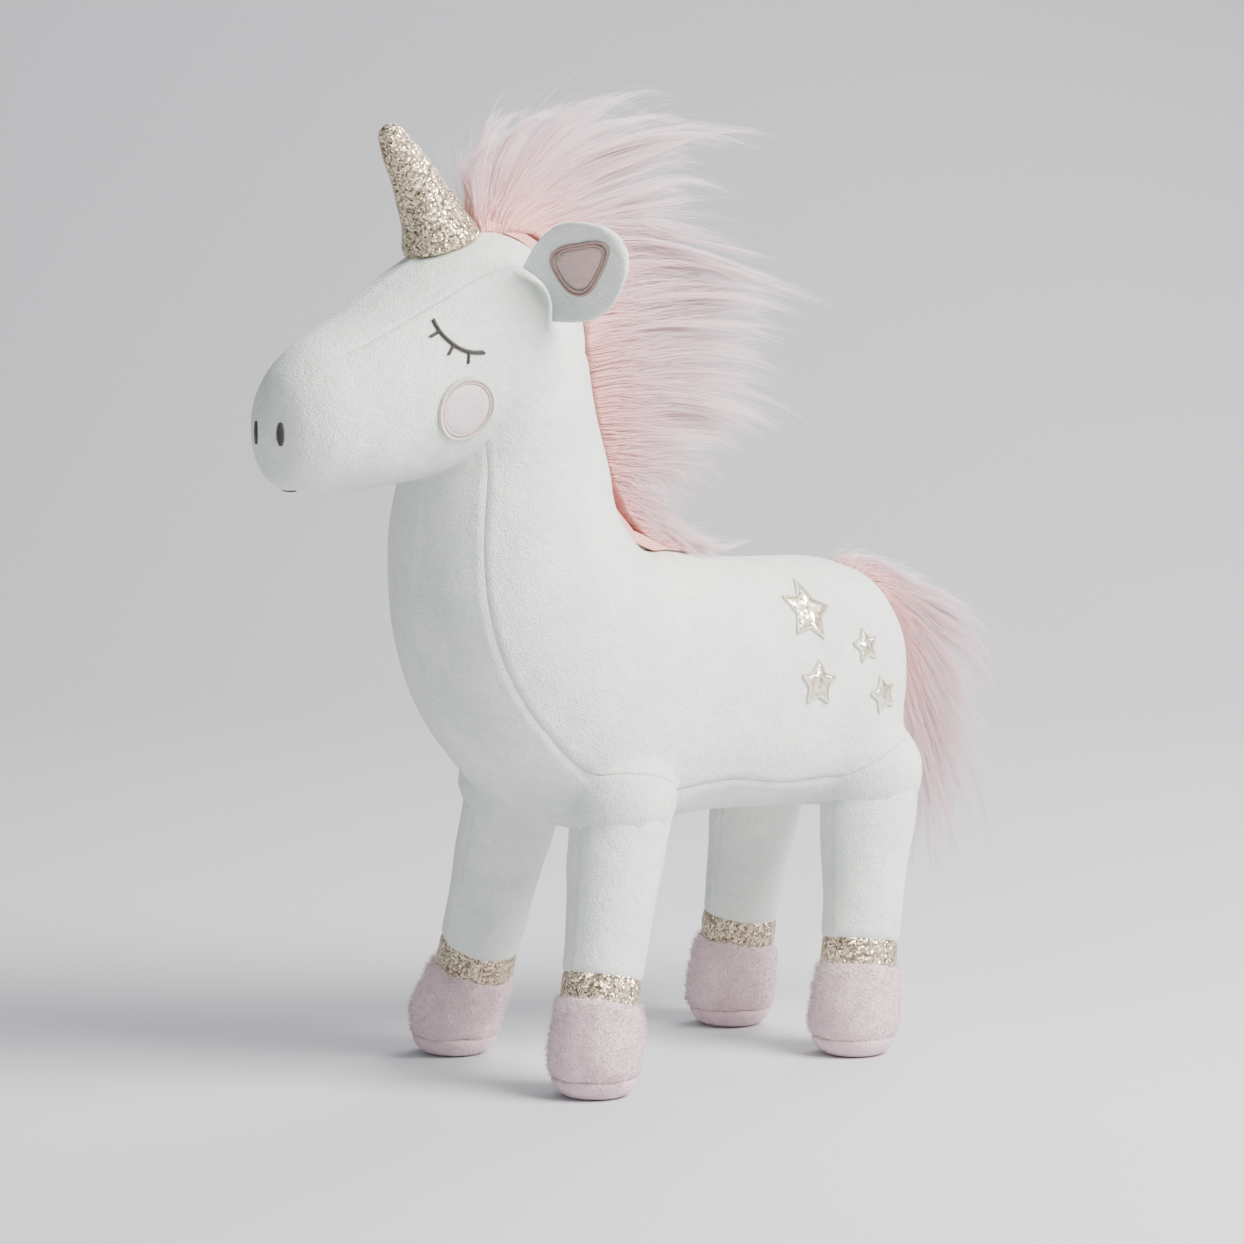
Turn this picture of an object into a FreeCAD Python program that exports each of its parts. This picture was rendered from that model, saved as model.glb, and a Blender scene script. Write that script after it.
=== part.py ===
import FreeCAD, Part
import math
import os

# Plush unicorn, standing. Millimetres, +Z up, nose towards -Y, its left side towards +X.
# Origin: on the floor, under the spine, midway between the front and the rear feet.

V = FreeCAD.Vector

# ---- driving dimensions ----
SKIN = 2.0                    # plush cloth with its short pile
PATCH = 0.7                   # applique cloth and embroidery, raised above the plush
GAP = 0.4                     # room between pieces that move against each other
WITHERS = (6.0, 246.0)        # y, z that the chest and neck sections fan about
BODY_HALF_WIDTH = 50.0
BACK_Z = 205.0
BELLY_Z = 101.0

NOD_AXIS = (-86.0, 272.0)     # y, z of the line the head nods about
NECK_SEAM_SLOPE = 34.0        # degrees, the neck seam rises from throat to nape
NOD_LIMIT = 8.0
LEG_LIMIT = 12.0

HIP_Z = 106.0
HIP_RADIUS = 20.5
ANKLE_Z = 46.0                # top of the glitter cuff
HOOF_Z = 36.0                 # top of the hoof
SOLE_Z = 8.0                  # top of the sole, where its seam runs

# name: hip x, y; ankle x, y (at HOOF_Z); hoof x, y (at mid height)
LEGS = {
    "front_left": ((32, -49), (40, -66), (40, -68)),
    "front_right": ((-32, -54), (-57, -55), (-65, -59)),
    "rear_left": ((32, 84), (40, 71.5), (40, 69)),
    "rear_right": ((-32, 79), (-42, 75), (-42, 71.5)),
}

# z, radius of a leg from the sole up to the hip
HOOF_RINGS = ((0, 10.5), (1.2, 14), (4, 16.6), (10, 18.5), (17, 19), (25, 18.4), (32, 17), (HOOF_Z, 15.9))
LEG_RINGS = ((HOOF_Z, 15.9), (ANKLE_Z, 16.1), (60, 17), (78, 18.4), (94, 19.8), (HIP_Z, HIP_RADIUS))

# lean of the section, y, z, half width, half height, squareness
HEAD_ROWS = (
    (0, -48, 296, 6, 8, 2), (0, -53, 295, 16, 19, 2), (0, -60, 294, 26, 30, 2),
    (0, -69, 293, 34, 38.5, 2), (0, -80, 293, 39.5, 45, 2), (0, -94, 293, 43, 48.5, 2),
    (0, -110, 291.5, 42, 47, 2), (0, -128, 286.5, 39, 43, 2), (0, -145, 280, 35.5, 38.5, 2),
    (0, -161, 274, 32, 34, 2), (0, -174, 270.5, 28.5, 30, 2), (0, -184, 267.5, 24, 26, 2),
    (0, -191, 265.5, 17.5, 20, 2), (0, -195, 264.5, 7.5, 9, 2),
)

EAR_ROOT = V(38.5, -88.5, 318.5)
EAR_ALONG = V(42.5, 4.5, 18.6)       # root to tip
EAR_BASE = V(-0.38, -0.342, 0.875)   # along the sewn edge, upwards
EAR_LENGTH = 44.0
EAR_CLOTH = 2.2
EAR_SWEEP = 22.0                     # degrees, the right ear is sewn further back than the left
EAR_SWEEP_LIFT = V(-0.9, 0, 0.45)    # and stands this much further off the head

HORN_BASE = V(0, -113.5, 338.5)
HORN_LENGTH = 48.5
HORN_LEAN = 31.0
HORN_SEAT_LEAN = 20.0
HORN_RINGS = ((0, 15), (0.12, 13.2), (0.35, 11), (0.6, 8.7), (0.82, 6.6), (0.94, 5.2), (1, 3.2))

CHEEK = (-127.0, 273.0, 10.5)        # y, z, radius
EYE_ARC = ((-137.3, 307.2), (-131.6, 298.4), (-120.8, 294.6))
LASHES = ((-136.6, 302.8, -140.6, 300.6), (-133.2, 299.2, -135.4, 295.2), (-127.6, 296.4, -127.8, 292.0))
THREAD = 1.5
STITCH_WIDTH = 1.5
NOSTRIL = (8.0, 264.5, 1.7, 4.5)     # x, z, half width, half height

# y, z, tip radius of each gold star on the flank
STARS = ((42.3, 185.6, 11.5), (70.2, 170.0, 6.6), (42.4, 156.7, 9.0), (79.2, 149.5, 7.2))
STAR_TURN = (12.0, -8.0, 5.0, -14.0)

TAIL_ROOT = (113.0, 191.0)
# lean, y, z, half width, half thickness, squareness
TAIL_ROWS = (
    (0, TAIL_ROOT[0], TAIL_ROOT[1], 5, 5, 2), (15, 124, 192, 10, 10, 2), (45, 144, 181, 17, 19, 2),
    (72, 160, 156, 21, 28, 2), (90, 165.5, 128, 22, 30.5, 2), (95, 162, 100, 18, 24, 2),
    (100, 156, 76, 11, 15, 2), (100, 152, 62, 4, 6, 2),
)
FORELOCK_ROWS = (
    (-90, -86, 343, 8, 12, 2), (-85, -85, 362, 10, 16, 2), (-50, -76, 378, 10, 11.5, 2),
    (-12, -50, 379, 9, 11, 2), (0, -20, 377, 7, 9, 2), (0, 12, 370, 3, 4, 2),
)
# hair that leaves the back of the head, and the hair of the neck
POLL_ROWS = (
    (-45, -59.5, 326, 7, 8, 2), (-15, -30, 328, 11, 14, 2), (0, 0, 332, 12, 16, 2),
    (0, 35, 338, 8, 11, 2), (0, 66, 343, 3, 4, 2),
)
NECK_HAIR_ROWS = (
    (0, -37, 251, 6, 11, 2), (0, -26, 252, 11, 20, 2), (0, -4, 250, 13, 26, 2),
    (0, 28, 252, 11, 23, 2), (0, 56, 256, 7, 14, 2), (0, 74, 258, 3, 5, 2),
)
CREST_HALF = 6.0                      # half width of the mane's woven backing
ROW_STEP = 12.0                       # spacing of the sections along a stuffed form
FLANK_REACH = 80.0                    # a cutting tool this long reaches through one flank
STITCH_OVERLAP = 0.3                  # how far a satin border laps over its patch
HORN_CLOTH = 1.0                      # thickness of the horn's glitter cloth
TAPE = 4.0                            # depth of the mane's backing with its seam allowance
STAR_INNER = 0.52                     # inner corners of a star, share of its tip radius
HIP_POCKET_DEPTH = 45.0               # room below the hip for the swing of a leg
HIP_ROOM = 0.7                        # room round the top of a leg, which leans as it swings
TAIL_ROOM = 2.2                       # from the tail's tape to the root of the fur, which turns sideways
MOUTH = (9.0, -186.0, 235.0)          # width, front y and lowest z of the mouth stitch
BIG = 500.0


# ---- geometry helpers ----

def fan_row(lean, near, far, half_width):
    """A body section through the withers point, from `near` to `far` along its own plane."""
    a = math.radians(lean)
    mid = (near + far) / 2.0
    y = WITHERS[0] - math.sin(a) * mid
    z = WITHERS[1] - math.cos(a) * mid
    return (lean, y, z, half_width, (far - near) / 2.0, 2.2)


def body_rows():
    """Sections of the body from the rump, along the barrel and up the neck."""
    mid = (BACK_Z + BELLY_Z) / 2.0
    half = (BACK_Z - BELLY_Z) / 2.0
    w = BODY_HALF_WIDTH
    rows = [(0, 118.5, 157, 5, 5, 2.2), (0, 116, 156.5, 17, 19, 2.2), (0, 109, 155.5, 29, 33, 2.3)]
    rows += [(0, 98, 154, 39, 43.5, 2.4), (0, 82, mid, w - 4, half - 1.5, 2.5)]
    rows += [(0, 55, mid, w - 2, half, 2.5), (0, 30, mid + 0.8, w - 1.5, half + 0.8, 2.5)]
    rows += [fan_row(0, 36, 145, w - 1), fan_row(25, 38.5, 157, w), fan_row(45, 41.5, 157, w - 0.5)]
    rows += [fan_row(65, 44.5, 145.5, w - 2.5), fan_row(80, 46.2, 134.5, w - 5.5)]
    rows += [fan_row(90, 46.5, 129.5, 42)]
    rows += [(90, -87, 272, 41, 41, 2), (90, -90, 304, 39, 40, 2)]
    return rows


def section(row, points=9):
    """A closed smooth ring in two halves: its height axis leans from +Z towards +Y by `lean` degrees."""
    lean, cy, cz, half_w, half_h, power = row
    a = math.radians(lean)
    right = []
    for i in range(points):
        t = math.pi / 2 - math.pi * i / (points - 1)
        u = abs(math.cos(t)) ** (2.0 / power) * half_w
        v = math.copysign(abs(math.sin(t)) ** (2.0 / power), math.sin(t)) * half_h
        right.append(V(u, cy + math.sin(a) * v, cz + math.cos(a) * v))
    right[0].x = 0.0
    right[-1].x = 0.0
    left = [V(-p.x, p.y, p.z) for p in reversed(right)]
    halves = []
    for side, start in ((right, 1), (left, -1)):
        curve = Part.BSplineCurve()
        curve.interpolate(Points=side, InitialTangent=V(start, 0, 0), FinalTangent=V(-start, 0, 0))
        halves.append(curve.toShape())
    return Part.Wire(halves)


def smooth_rows(rows, step):
    """The same sections with more of them between, eased from one to the next."""
    at = [0.0]
    for a, b in zip(rows[:-1], rows[1:]):
        at.append(at[-1] + math.dist(a[1:5], b[1:5]))

    def slope(i, k):
        if i == 0 or i == len(rows) - 1:
            j = max(i - 1, 0)
            return (rows[j + 1][k] - rows[j][k]) / (at[j + 1] - at[j])
        before = at[i] - at[i - 1]
        after = at[i + 1] - at[i]
        d0 = (rows[i][k] - rows[i - 1][k]) / before
        d1 = (rows[i + 1][k] - rows[i][k]) / after
        return (d0 * after + d1 * before) / (before + after)

    count = max(2, int(round(at[-1] / step)))
    out = []
    j = 0
    for q in range(count + 1):
        u = at[-1] * q / count
        while j < len(rows) - 2 and u > at[j + 1]:
            j += 1
        h = at[j + 1] - at[j]
        t = (u - at[j]) / h
        ease = 3 * t * t - 2 * t ** 3
        row = []
        for k in range(6):
            bow = (t ** 3 - 2 * t * t + t) * h * slope(j, k) + (t ** 3 - t * t) * h * slope(j + 1, k)
            row.append(rows[j][k] * (1 - ease) + rows[j + 1][k] * ease + bow)
        out.append(tuple(row))
    return out


def loft(rows):
    """A solid with straight runs between the sections, its faces turned outwards."""
    solid = Part.makeLoft([section(r) for r in rows], True, True)
    if solid.Volume < 0:
        solid.reverse()
    return solid


def inset(rows, t):
    """The same form with its surface moved inwards by t, or outwards for a negative t."""
    out = []
    for i, row in enumerate(rows):
        a = rows[max(i - 1, 0)]
        b = rows[min(i + 1, len(rows) - 1)]
        ds = math.hypot(b[1] - a[1], b[2] - a[2])
        slope = (b[3] + b[4] - a[3] - a[4]) / 2.0 / ds
        norm = math.hypot(1.0, slope)
        along = t * slope / norm / ds
        y = row[1] + (b[1] - a[1]) * along
        z = row[2] + (b[2] - a[2]) * along
        out.append((row[0], y, z, row[3] - t / norm, row[4] - t / norm, row[5]))
    if t > 0:
        out = [r for r in out if r[3] > 2.0 and r[4] > 2.0]
    return out


def slab(points_yz, x0=-BIG, x1=BIG):
    """A prism along X over an outline in the side view."""
    pts = [V(x0, y, z) for y, z in points_yz]
    face = Part.Face(Part.makePolygon(pts + [pts[0]]))
    return face.extrude(V(x1 - x0, 0, 0))


def half_box(sign):
    """Everything on one side of the middle plane."""
    return Part.makeBox(BIG, 2 * BIG, 2 * BIG, V(0 if sign > 0 else -BIG, -BIG, -BIG))


def mirrored(shape):
    return shape.mirror(V(0, 0, 0), V(1, 0, 0))


def solids_of(shape):
    """The solid or solids of a boolean's result, without crumbs."""
    keep = [s for s in shape.Solids if s.Volume > 0.05]
    return keep[0] if len(keep) == 1 else Part.makeCompound(keep)


def write(name, shape):
    shape = solids_of(shape)
    shape.exportStep("parts/%s.step" % name)
    box = shape.BoundBox
    state = "ok" if shape.isValid() and shape.Volume > 0 else "INVALID"
    text = "%-22s %s solids %d vol %8.0f  x %.1f %.1f  y %.1f %.1f  z %.1f %.1f"
    print(text % (name, state, len(shape.Solids), shape.Volume, box.XMin, box.XMax,
                  box.YMin, box.YMax, box.ZMin, box.ZMax))


# ---- the neck joint ----

def seam_direction(extra):
    a = math.radians(NECK_SEAM_SLOPE + extra)
    return math.cos(a), math.sin(a)


def above_neck():
    """What the neck must leave free: the head's swing over a roof with its ridge on the nod axis."""
    y, z = NOD_AXIS
    back = seam_direction(-NOD_LIMIT - 0.5)
    front = seam_direction(NOD_LIMIT + 0.5)
    z = z - GAP
    return slab([(y, z), (y + BIG * back[0], z + BIG * back[1]), (y, z + BIG),
                 (y - BIG * front[0], z + BIG), (y - BIG * front[0], z - BIG * front[1])])


def below_head():
    """Everything under the head's side of the neck seam."""
    y, z = NOD_AXIS
    c, s = seam_direction(0)
    return slab([(y - BIG * c, z - BIG * s), (y + BIG * c, z + BIG * s), (y, z - 2 * BIG)])


# ---- the legs ----

def leg_rings(name, rings):
    """Rings of one leg, sheared from the hip to the hoof."""
    hip, ankle, hoof = LEGS[name]
    path = ((0.0, hoof), (17.0, hoof), (HOOF_Z, ankle), (HIP_Z, hip))
    out = []
    for z, r in rings:
        for (z0, p0), (z1, p1) in zip(path[:-1], path[1:]):
            if z <= z1:
                break
        k = (z - z0) / (z1 - z0)
        out.append((p0[0] + (p1[0] - p0[0]) * k, p0[1] + (p1[1] - p0[1]) * k, z, r))
    return out


def stack(rings, inner=0.0):
    """A loft through level circles, each `inner` smaller."""
    wires = [Part.Wire(Part.makeCircle(r - inner, V(x, y, z))) for x, y, z, r in rings]
    return Part.makeLoft(wires, True, True)


def hip_dome(name, inner):
    """Rings of the round top of a leg, about the hip."""
    x, y = LEGS[name][0]
    r = HIP_RADIUS - inner
    up = [math.radians(a) for a in (20, 38, 54, 68, 80, 86)]
    return [(x, y, HIP_Z + r * math.sin(a), r * math.cos(a) + inner) for a in up]


def leg_pocket(name):
    """Room in the body for the top of a leg over its whole swing."""
    (x, y), (ax, _), _ = LEGS[name]
    r = HIP_RADIUS + HIP_ROOM
    spread = math.tan(math.radians(LEG_LIMIT + 1))
    depth = HIP_POCKET_DEPTH
    top = r / math.cos(math.radians(LEG_LIMIT + 1))
    low = top + depth * spread
    lean = (ax - x) * depth / (HIP_Z - HOOF_Z)
    wedge = slab([(y - top, HIP_Z), (y + top, HIP_Z), (y + low, HIP_Z - depth), (y - low, HIP_Z - depth)],
                 x - r + min(lean, 0), x + r + max(lean, 0))
    return Part.makeSphere(r, V(x, y, HIP_Z)).fuse(wedge)


def build_leg(name):
    """Cloth tube with a ball top, glitter cuff, hoof wall and sole, all around one stuffing."""
    hoof = leg_rings(name, HOOF_RINGS)
    tube = leg_rings(name, LEG_RINGS)
    outer = stack(tube + hip_dome(name, 0.0))
    inner = stack(tube + hip_dome(name, SKIN), SKIN)
    ankle = Part.makeBox(BIG, BIG, ANKLE_Z, V(-BIG / 2, -BIG / 2, 0))
    wall = stack(hoof)
    hollow = stack(hoof[1:], SKIN)
    sole_box = Part.makeBox(BIG, BIG, SOLE_Z, V(-BIG / 2, -BIG / 2, 0))
    core = inner.fuse(hollow.cut(sole_box))
    write("leg_%s_cover" % name, outer.cut(inner).cut(ankle))
    write("leg_%s_cuff" % name, outer.cut(inner).common(ankle))
    write("leg_%s_hoof_wall" % name, wall.cut(hollow).cut(sole_box))
    write("leg_%s_hoof_sole" % name, wall.common(sole_box))
    write("leg_%s_stuffing" % name, core)


# ---- body ----

def gusset_zone():
    """The band of cloth down the throat and chest and along the belly."""
    front = [(28, 300), (30, 240), (34, 180), (38, 130), (38, 80)]
    outline = [V(x, -BIG, z) for x, z in front] + [V(-x, -BIG, z) for x, z in reversed(front)]
    band = Part.Face(Part.makePolygon(outline + [outline[0]])).extrude(V(0, 2 * BIG, 0))
    side = [(-84, 320), (-82, 230), (-70, 180), (-45, 155), (0, 150), (90, 150), (140, 150),
            (140, 50), (-200, 50), (-200, 320)]
    return band.common(slab(side))


def build_torso():
    rows = smooth_rows(body_rows(), ROW_STEP)
    outer = loft(rows)
    core_rows = inset(rows, SKIN)
    lean, y, z, half_w, half_h, power = core_rows[-1]
    core_rows[-1] = (lean, y, z + 2 * SKIN, half_w, half_h, power)
    inner = loft(core_rows)
    room = [above_neck()] + [leg_pocket(name) for name in LEGS]
    skin = outer.cut(inner)
    core = inner
    for tool in room:
        skin = skin.cut(tool)
        core = core.cut(tool)
    band = gusset_zone()
    write("chest_belly_gusset", skin.common(band))
    sides = skin.cut(band)
    write("torso_side_left", sides.common(half_box(1)))
    write("torso_side_right", sides.common(half_box(-1)))
    write("torso_stuffing", core)
    return outer, loft(inset(rows, -PATCH))


def star_outline(y, z, radius, turn):
    """Five-pointed star in the side view."""
    pts = []
    for i in range(10):
        r = radius if i % 2 == 0 else radius * STAR_INNER
        a = math.radians(90 + turn + 36 * i)
        pts.append((y + r * math.cos(a), z + r * math.sin(a)))
    return pts


def build_stars(outer, raised):
    """Four gold patches on each flank, each inside its own satin-stitched border."""
    flank = Part.makeBox(FLANK_REACH, 100, 90, V(20, 15, 120))
    for side in ("left", "right"):
        turned = mirrored if side == "right" else (lambda shape: shape)
        coat = raised.common(turned(flank)).cut(outer)
        gold = []
        border = []
        for (y, z, radius), turn in zip(STARS, STAR_TURN):
            full = slab(star_outline(y, z, radius + STITCH_WIDTH, turn), 0, FLANK_REACH)
            patch = slab(star_outline(y, z, radius - STITCH_OVERLAP, turn), 0, FLANK_REACH)
            gold.append(coat.common(turned(patch)))
            border.append(coat.common(turned(full.cut(patch))))
        write("star_patches_%s" % side, Part.makeCompound(gold))
        write("star_outlines_%s" % side, Part.makeCompound(border))


# ---- head ----

def head_gusset_zone():
    """The band of cloth from the nose up over the forehead to the nape."""
    plan = [(10, -200), (20, -165), (27, -130), (30, -95), (26, -60), (20, -40)]
    outline = [V(x, y, 240) for x, y in plan] + [V(-x, y, 240) for x, y in reversed(plan)]
    band = Part.Face(Part.makePolygon(outline + [outline[0]])).extrude(V(0, 0, 160))
    side = [(-200, 268), (-160, 278), (-120, 292), (-40, 296), (-40, 400), (-200, 400)]
    return band.common(slab(side))


def build_head():
    rows = smooth_rows(HEAD_ROWS, ROW_STEP)
    outer = loft(rows)
    inner = loft(inset(rows, SKIN))
    neck = below_head()
    skin = outer.cut(inner).cut(neck)
    band = head_gusset_zone()
    write("head_top_gusset", skin.common(band))
    sides = skin.cut(band)
    write("head_side_left", sides.common(half_box(1)))
    write("head_side_right", sides.common(half_box(-1)))
    write("head_stuffing", inner.cut(neck))
    raised = loft(inset(rows, -PATCH))
    return outer, raised.cut(outer)


def arc_band(points, width):
    """A strip of one width along the arc through three points of the side view."""
    middle = [V(0, y, z) for y, z in points]
    centre = Part.Circle(*middle).Center
    rims = []
    for grow in (width / 2.0, -width / 2.0):
        rims.append([p + (p - centre).normalize() * grow for p in middle])
    sides = [Part.Arc(*rim).toShape() for rim in rims]
    ends = [Part.LineSegment(rims[0][i], rims[1][i]).toShape() for i in (0, 2)]
    face = Part.Face(Part.Wire(Part.__sortEdges__(sides + ends)))
    return face.extrude(V(60, 0, 0))


def lash(y0, z0, y1, z1):
    """One straight stitch of the eyelashes."""
    length = math.hypot(y1 - y0, z1 - z0)
    ny, nz = -(z1 - z0) / length * THREAD / 2, (y1 - y0) / length * THREAD / 2
    return slab([(y0 + ny, z0 + nz), (y1 + ny, z1 + nz), (y1 - ny, z1 - nz), (y0 - ny, z0 - nz)], 0, 60)


def build_face(coat):
    """Closed eyes, cheek patches, nostrils and mouth, all sewn on the head's plush."""
    eye = arc_band(EYE_ARC, THREAD)
    for stitch in LASHES:
        eye = eye.fuse(lash(*stitch))
    y, z, r = CHEEK
    disc = Part.makeCylinder(r, 60, V(0, y, z), V(1, 0, 0))
    ring = Part.makeCylinder(r + STITCH_WIDTH, 60, V(0, y, z), V(1, 0, 0)).cut(disc)
    for kind, tool in (("eye", eye), ("cheek_patch", disc), ("cheek_stitching", ring)):
        write("%s_left" % kind, coat.common(tool))
        write("%s_right" % kind, coat.common(mirrored(tool)))
    x, z, half_w, half_h = NOSTRIL
    oval = Part.Face(Part.Wire(Part.Ellipse(V(x, -200, z + half_h), V(x + half_w, -200, z), V(x, -200, z)).toShape()))
    nostril = oval.extrude(V(0, 30, 0))
    write("nostrils", Part.makeCompound([coat.common(nostril), coat.common(mirrored(nostril))]))
    width, front, low = MOUTH
    mouth = Part.makeBox(width, THREAD, 20, V(-width / 2, front, low))
    write("mouth_stitch", coat.common(mouth))


# ---- ears ----

def ear_place(shape):
    """From the ear's own frame (x to the tip, y up the sewn edge, z out of the front) to its place."""
    a = V(EAR_ALONG).normalize()
    n = a.cross(EAR_BASE).normalize()
    b = n.cross(a)
    m = FreeCAD.Matrix(a.x, b.x, n.x, EAR_ROOT.x, a.y, b.y, n.y, EAR_ROOT.y, a.z, b.z, n.z, EAR_ROOT.z, 0, 0, 0, 1)
    return shape.transformGeometry(m)


def ear_outline(scale, shift, z):
    """Rounded leaf: narrow at the sewn edge, widest before the middle, blunt at the tip."""
    L = EAR_LENGTH
    half = ((0.0, 11.5), (0.14, 16), (0.36, 19.5), (0.6, 18.5), (0.82, 13), (0.96, 5.5))
    top = [V(shift + L * u * scale, v * scale, z) for u, v in half]
    low = [V(p.x, -p.y, z) for p in reversed(top)]
    side = Part.BSplineCurve()
    side.interpolate(top + [V(shift + L * scale, 0, z)] + low)
    return Part.Wire([side.toShape(), Part.LineSegment(low[-1], top[0]).toShape()])


def build_ears():
    """Two layers of plush, a pink inner patch and its embroidered border, for each ear."""
    full = Part.Face(ear_outline(1.0, 0.0, 0))
    border = Part.Face(ear_outline(0.66, 8.0, EAR_CLOTH))
    patch = Part.Face(ear_outline(0.58, 9.6, EAR_CLOTH))
    pieces = {
        "back": full.extrude(V(0, 0, -EAR_CLOTH)),
        "front": full.extrude(V(0, 0, EAR_CLOTH)),
        "patch": patch.extrude(V(0, 0, PATCH)),
        "stitching": border.extrude(V(0, 0, PATCH + 0.2)).cut(patch.extrude(V(0, 0, 2))),
    }
    for kind, shape in pieces.items():
        placed = ear_place(shape)
        write("ear_left_%s" % kind, placed)
        other = mirrored(placed)
        other.rotate(V(-EAR_ROOT.x, EAR_ROOT.y, EAR_ROOT.z), V(-EAR_BASE.x, EAR_BASE.y, EAR_BASE.z), -EAR_SWEEP)
        other.translate(EAR_SWEEP_LIFT)
        write("ear_right_%s" % kind, other)


# ---- horn, mane and tail ----

def build_horn():
    """Glitter cloth cone with a blunt tip, on a flat seat that follows the slope of the forehead."""
    a = math.radians(HORN_LEAN)
    outer = []
    inner = []
    for k, r in HORN_RINGS:
        bend = 1.6 * math.sin(math.pi * k)
        at = HORN_BASE + V(0, -math.sin(a), math.cos(a)) * (HORN_LENGTH * k) + V(0, bend, bend * 0.6)
        tilt = math.radians(HORN_SEAT_LEAN + (HORN_LEAN - HORN_SEAT_LEAN) * k)
        axis = V(0, -math.sin(tilt), math.cos(tilt))
        outer.append(Part.Wire(Part.makeCircle(r, at, axis)))
        if k < 0.95:
            inner.append(Part.Wire(Part.makeCircle(r - HORN_CLOTH, at, axis)))
    cone = Part.makeLoft(outer, True, False)
    core = Part.makeLoft(inner, True, False)
    write("horn_cover", cone.cut(core))
    write("horn_stuffing", core)


def strip(points_yz, thickness):
    """A woven tape of the crest's width, along points of the side view."""
    outer = [(y, z) for y, z in points_yz]
    pushed = []
    for i, (y, z) in enumerate(outer):
        y0, z0 = outer[max(i - 1, 0)]
        y1, z1 = outer[min(i + 1, len(outer) - 1)]
        d = math.hypot(y1 - y0, z1 - z0)
        pushed.append((y + (z0 - z1) / d * -thickness, z + (y1 - y0) / d * -thickness))
    return slab(outer + pushed[::-1], -CREST_HALF, CREST_HALF)


def build_mane(body, head):
    """Long pink fur on a woven tape that is sewn along the crest, split at the neck seam."""
    poll = strip([(-95, 344.4), (-80, 341.5), (-66, 334), (-56, 322)], TAPE)
    neck = strip([(-43.5, 270), (-38, 246), (-31, 230), (-21, 219.5), (-6, 213.5), (10, 211)], TAPE)
    poll_tape = poll.cut(head)
    neck_tape = neck.cut(body)
    write("mane_tape_head", poll_tape)
    write("mane_tape_neck", neck_tape)
    forelock = loft(smooth_rows(FORELOCK_ROWS, ROW_STEP)).cut(head).cut(poll_tape)
    poll_hair = loft(smooth_rows(POLL_ROWS, ROW_STEP)).cut(head).cut(poll_tape).cut(forelock)
    write("forelock_fur", forelock)
    write("mane_fur_head", poll_hair)
    write("mane_fur_neck", loft(smooth_rows(NECK_HAIR_ROWS, ROW_STEP)).cut(neck_tape))


def build_tail(body):
    """A tuft of the same fur, held by a short tape in the seam of the rump."""
    y, z = TAIL_ROOT
    tape = Part.makeBox(8, 16, 2, V(-4, y - 16 - TAIL_ROOM, z - 1))
    write("tail_tape", tape.cut(body))
    write("tail_fur", loft(smooth_rows(TAIL_ROWS, ROW_STEP)))


os.makedirs("parts", exist_ok=True)
body_form, body_coat = build_torso()
build_stars(body_form, body_coat)
head_form, head_coat = build_head()
build_face(head_coat)
build_ears()
build_horn()
build_mane(body_form, head_form)
build_tail(body_form)
for leg_name in LEGS:
    build_leg(leg_name)
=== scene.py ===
import math
import bmesh
import bpy
import numpy as np
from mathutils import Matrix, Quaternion, Vector, noise
from mathutils.bvhtree import BVHTree
from mathutils.kdtree import KDTree


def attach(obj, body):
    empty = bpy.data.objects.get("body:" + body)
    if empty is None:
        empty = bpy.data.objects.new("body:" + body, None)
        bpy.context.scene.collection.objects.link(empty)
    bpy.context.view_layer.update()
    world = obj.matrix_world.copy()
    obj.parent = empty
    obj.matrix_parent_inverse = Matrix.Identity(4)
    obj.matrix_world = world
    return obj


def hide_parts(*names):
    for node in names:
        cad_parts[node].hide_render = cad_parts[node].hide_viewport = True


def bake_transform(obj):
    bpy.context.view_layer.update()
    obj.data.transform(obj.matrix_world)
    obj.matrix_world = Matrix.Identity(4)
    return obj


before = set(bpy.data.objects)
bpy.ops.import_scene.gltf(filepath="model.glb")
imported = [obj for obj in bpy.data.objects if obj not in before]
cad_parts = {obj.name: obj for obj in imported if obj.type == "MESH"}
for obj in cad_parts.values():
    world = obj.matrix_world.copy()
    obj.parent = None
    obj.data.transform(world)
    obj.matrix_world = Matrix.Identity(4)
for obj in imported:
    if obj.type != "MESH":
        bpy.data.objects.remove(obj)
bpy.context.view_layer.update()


# ---------------------------------------------------------------------------
# Studio: a pale seamless floor that curves up behind the toy, a large soft key
# light from the toy's rear left, a weak cool fill in front and a pale sky.
# ---------------------------------------------------------------------------

scene = bpy.context.scene
VIEW_AZIMUTH = math.radians(51.145)
VIEW_ELEVATION = math.radians(5.660)
VIEW_DISTANCE = 1.8
VIEW_TARGET = Vector((-0.010784, -0.013386, 0.180663))
LENS_MM = 127.62


def direction(azimuth, elevation):
    """Unit vector from the toy towards a compass and height angle in radians."""
    flat = math.cos(elevation)
    return Vector((math.sin(azimuth) * flat, -math.cos(azimuth) * flat, math.sin(elevation)))


def aim(obj, place, target):
    """Puts a light or camera at a place, looking at a target."""
    obj.location = place
    obj.rotation_mode = "QUATERNION"
    obj.rotation_quaternion = (target - place).to_track_quat("-Z", "Y")
    scene.collection.objects.link(obj)


camera_data = bpy.data.cameras.new("studio_camera")
camera_data.lens = LENS_MM
camera_data.sensor_width = 36.0
camera_data.clip_end = 30.0
camera = bpy.data.objects.new("studio_camera", camera_data)
aim(camera, VIEW_TARGET + direction(VIEW_AZIMUTH, VIEW_ELEVATION) * VIEW_DISTANCE, VIEW_TARGET)
scene.camera = camera


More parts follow.
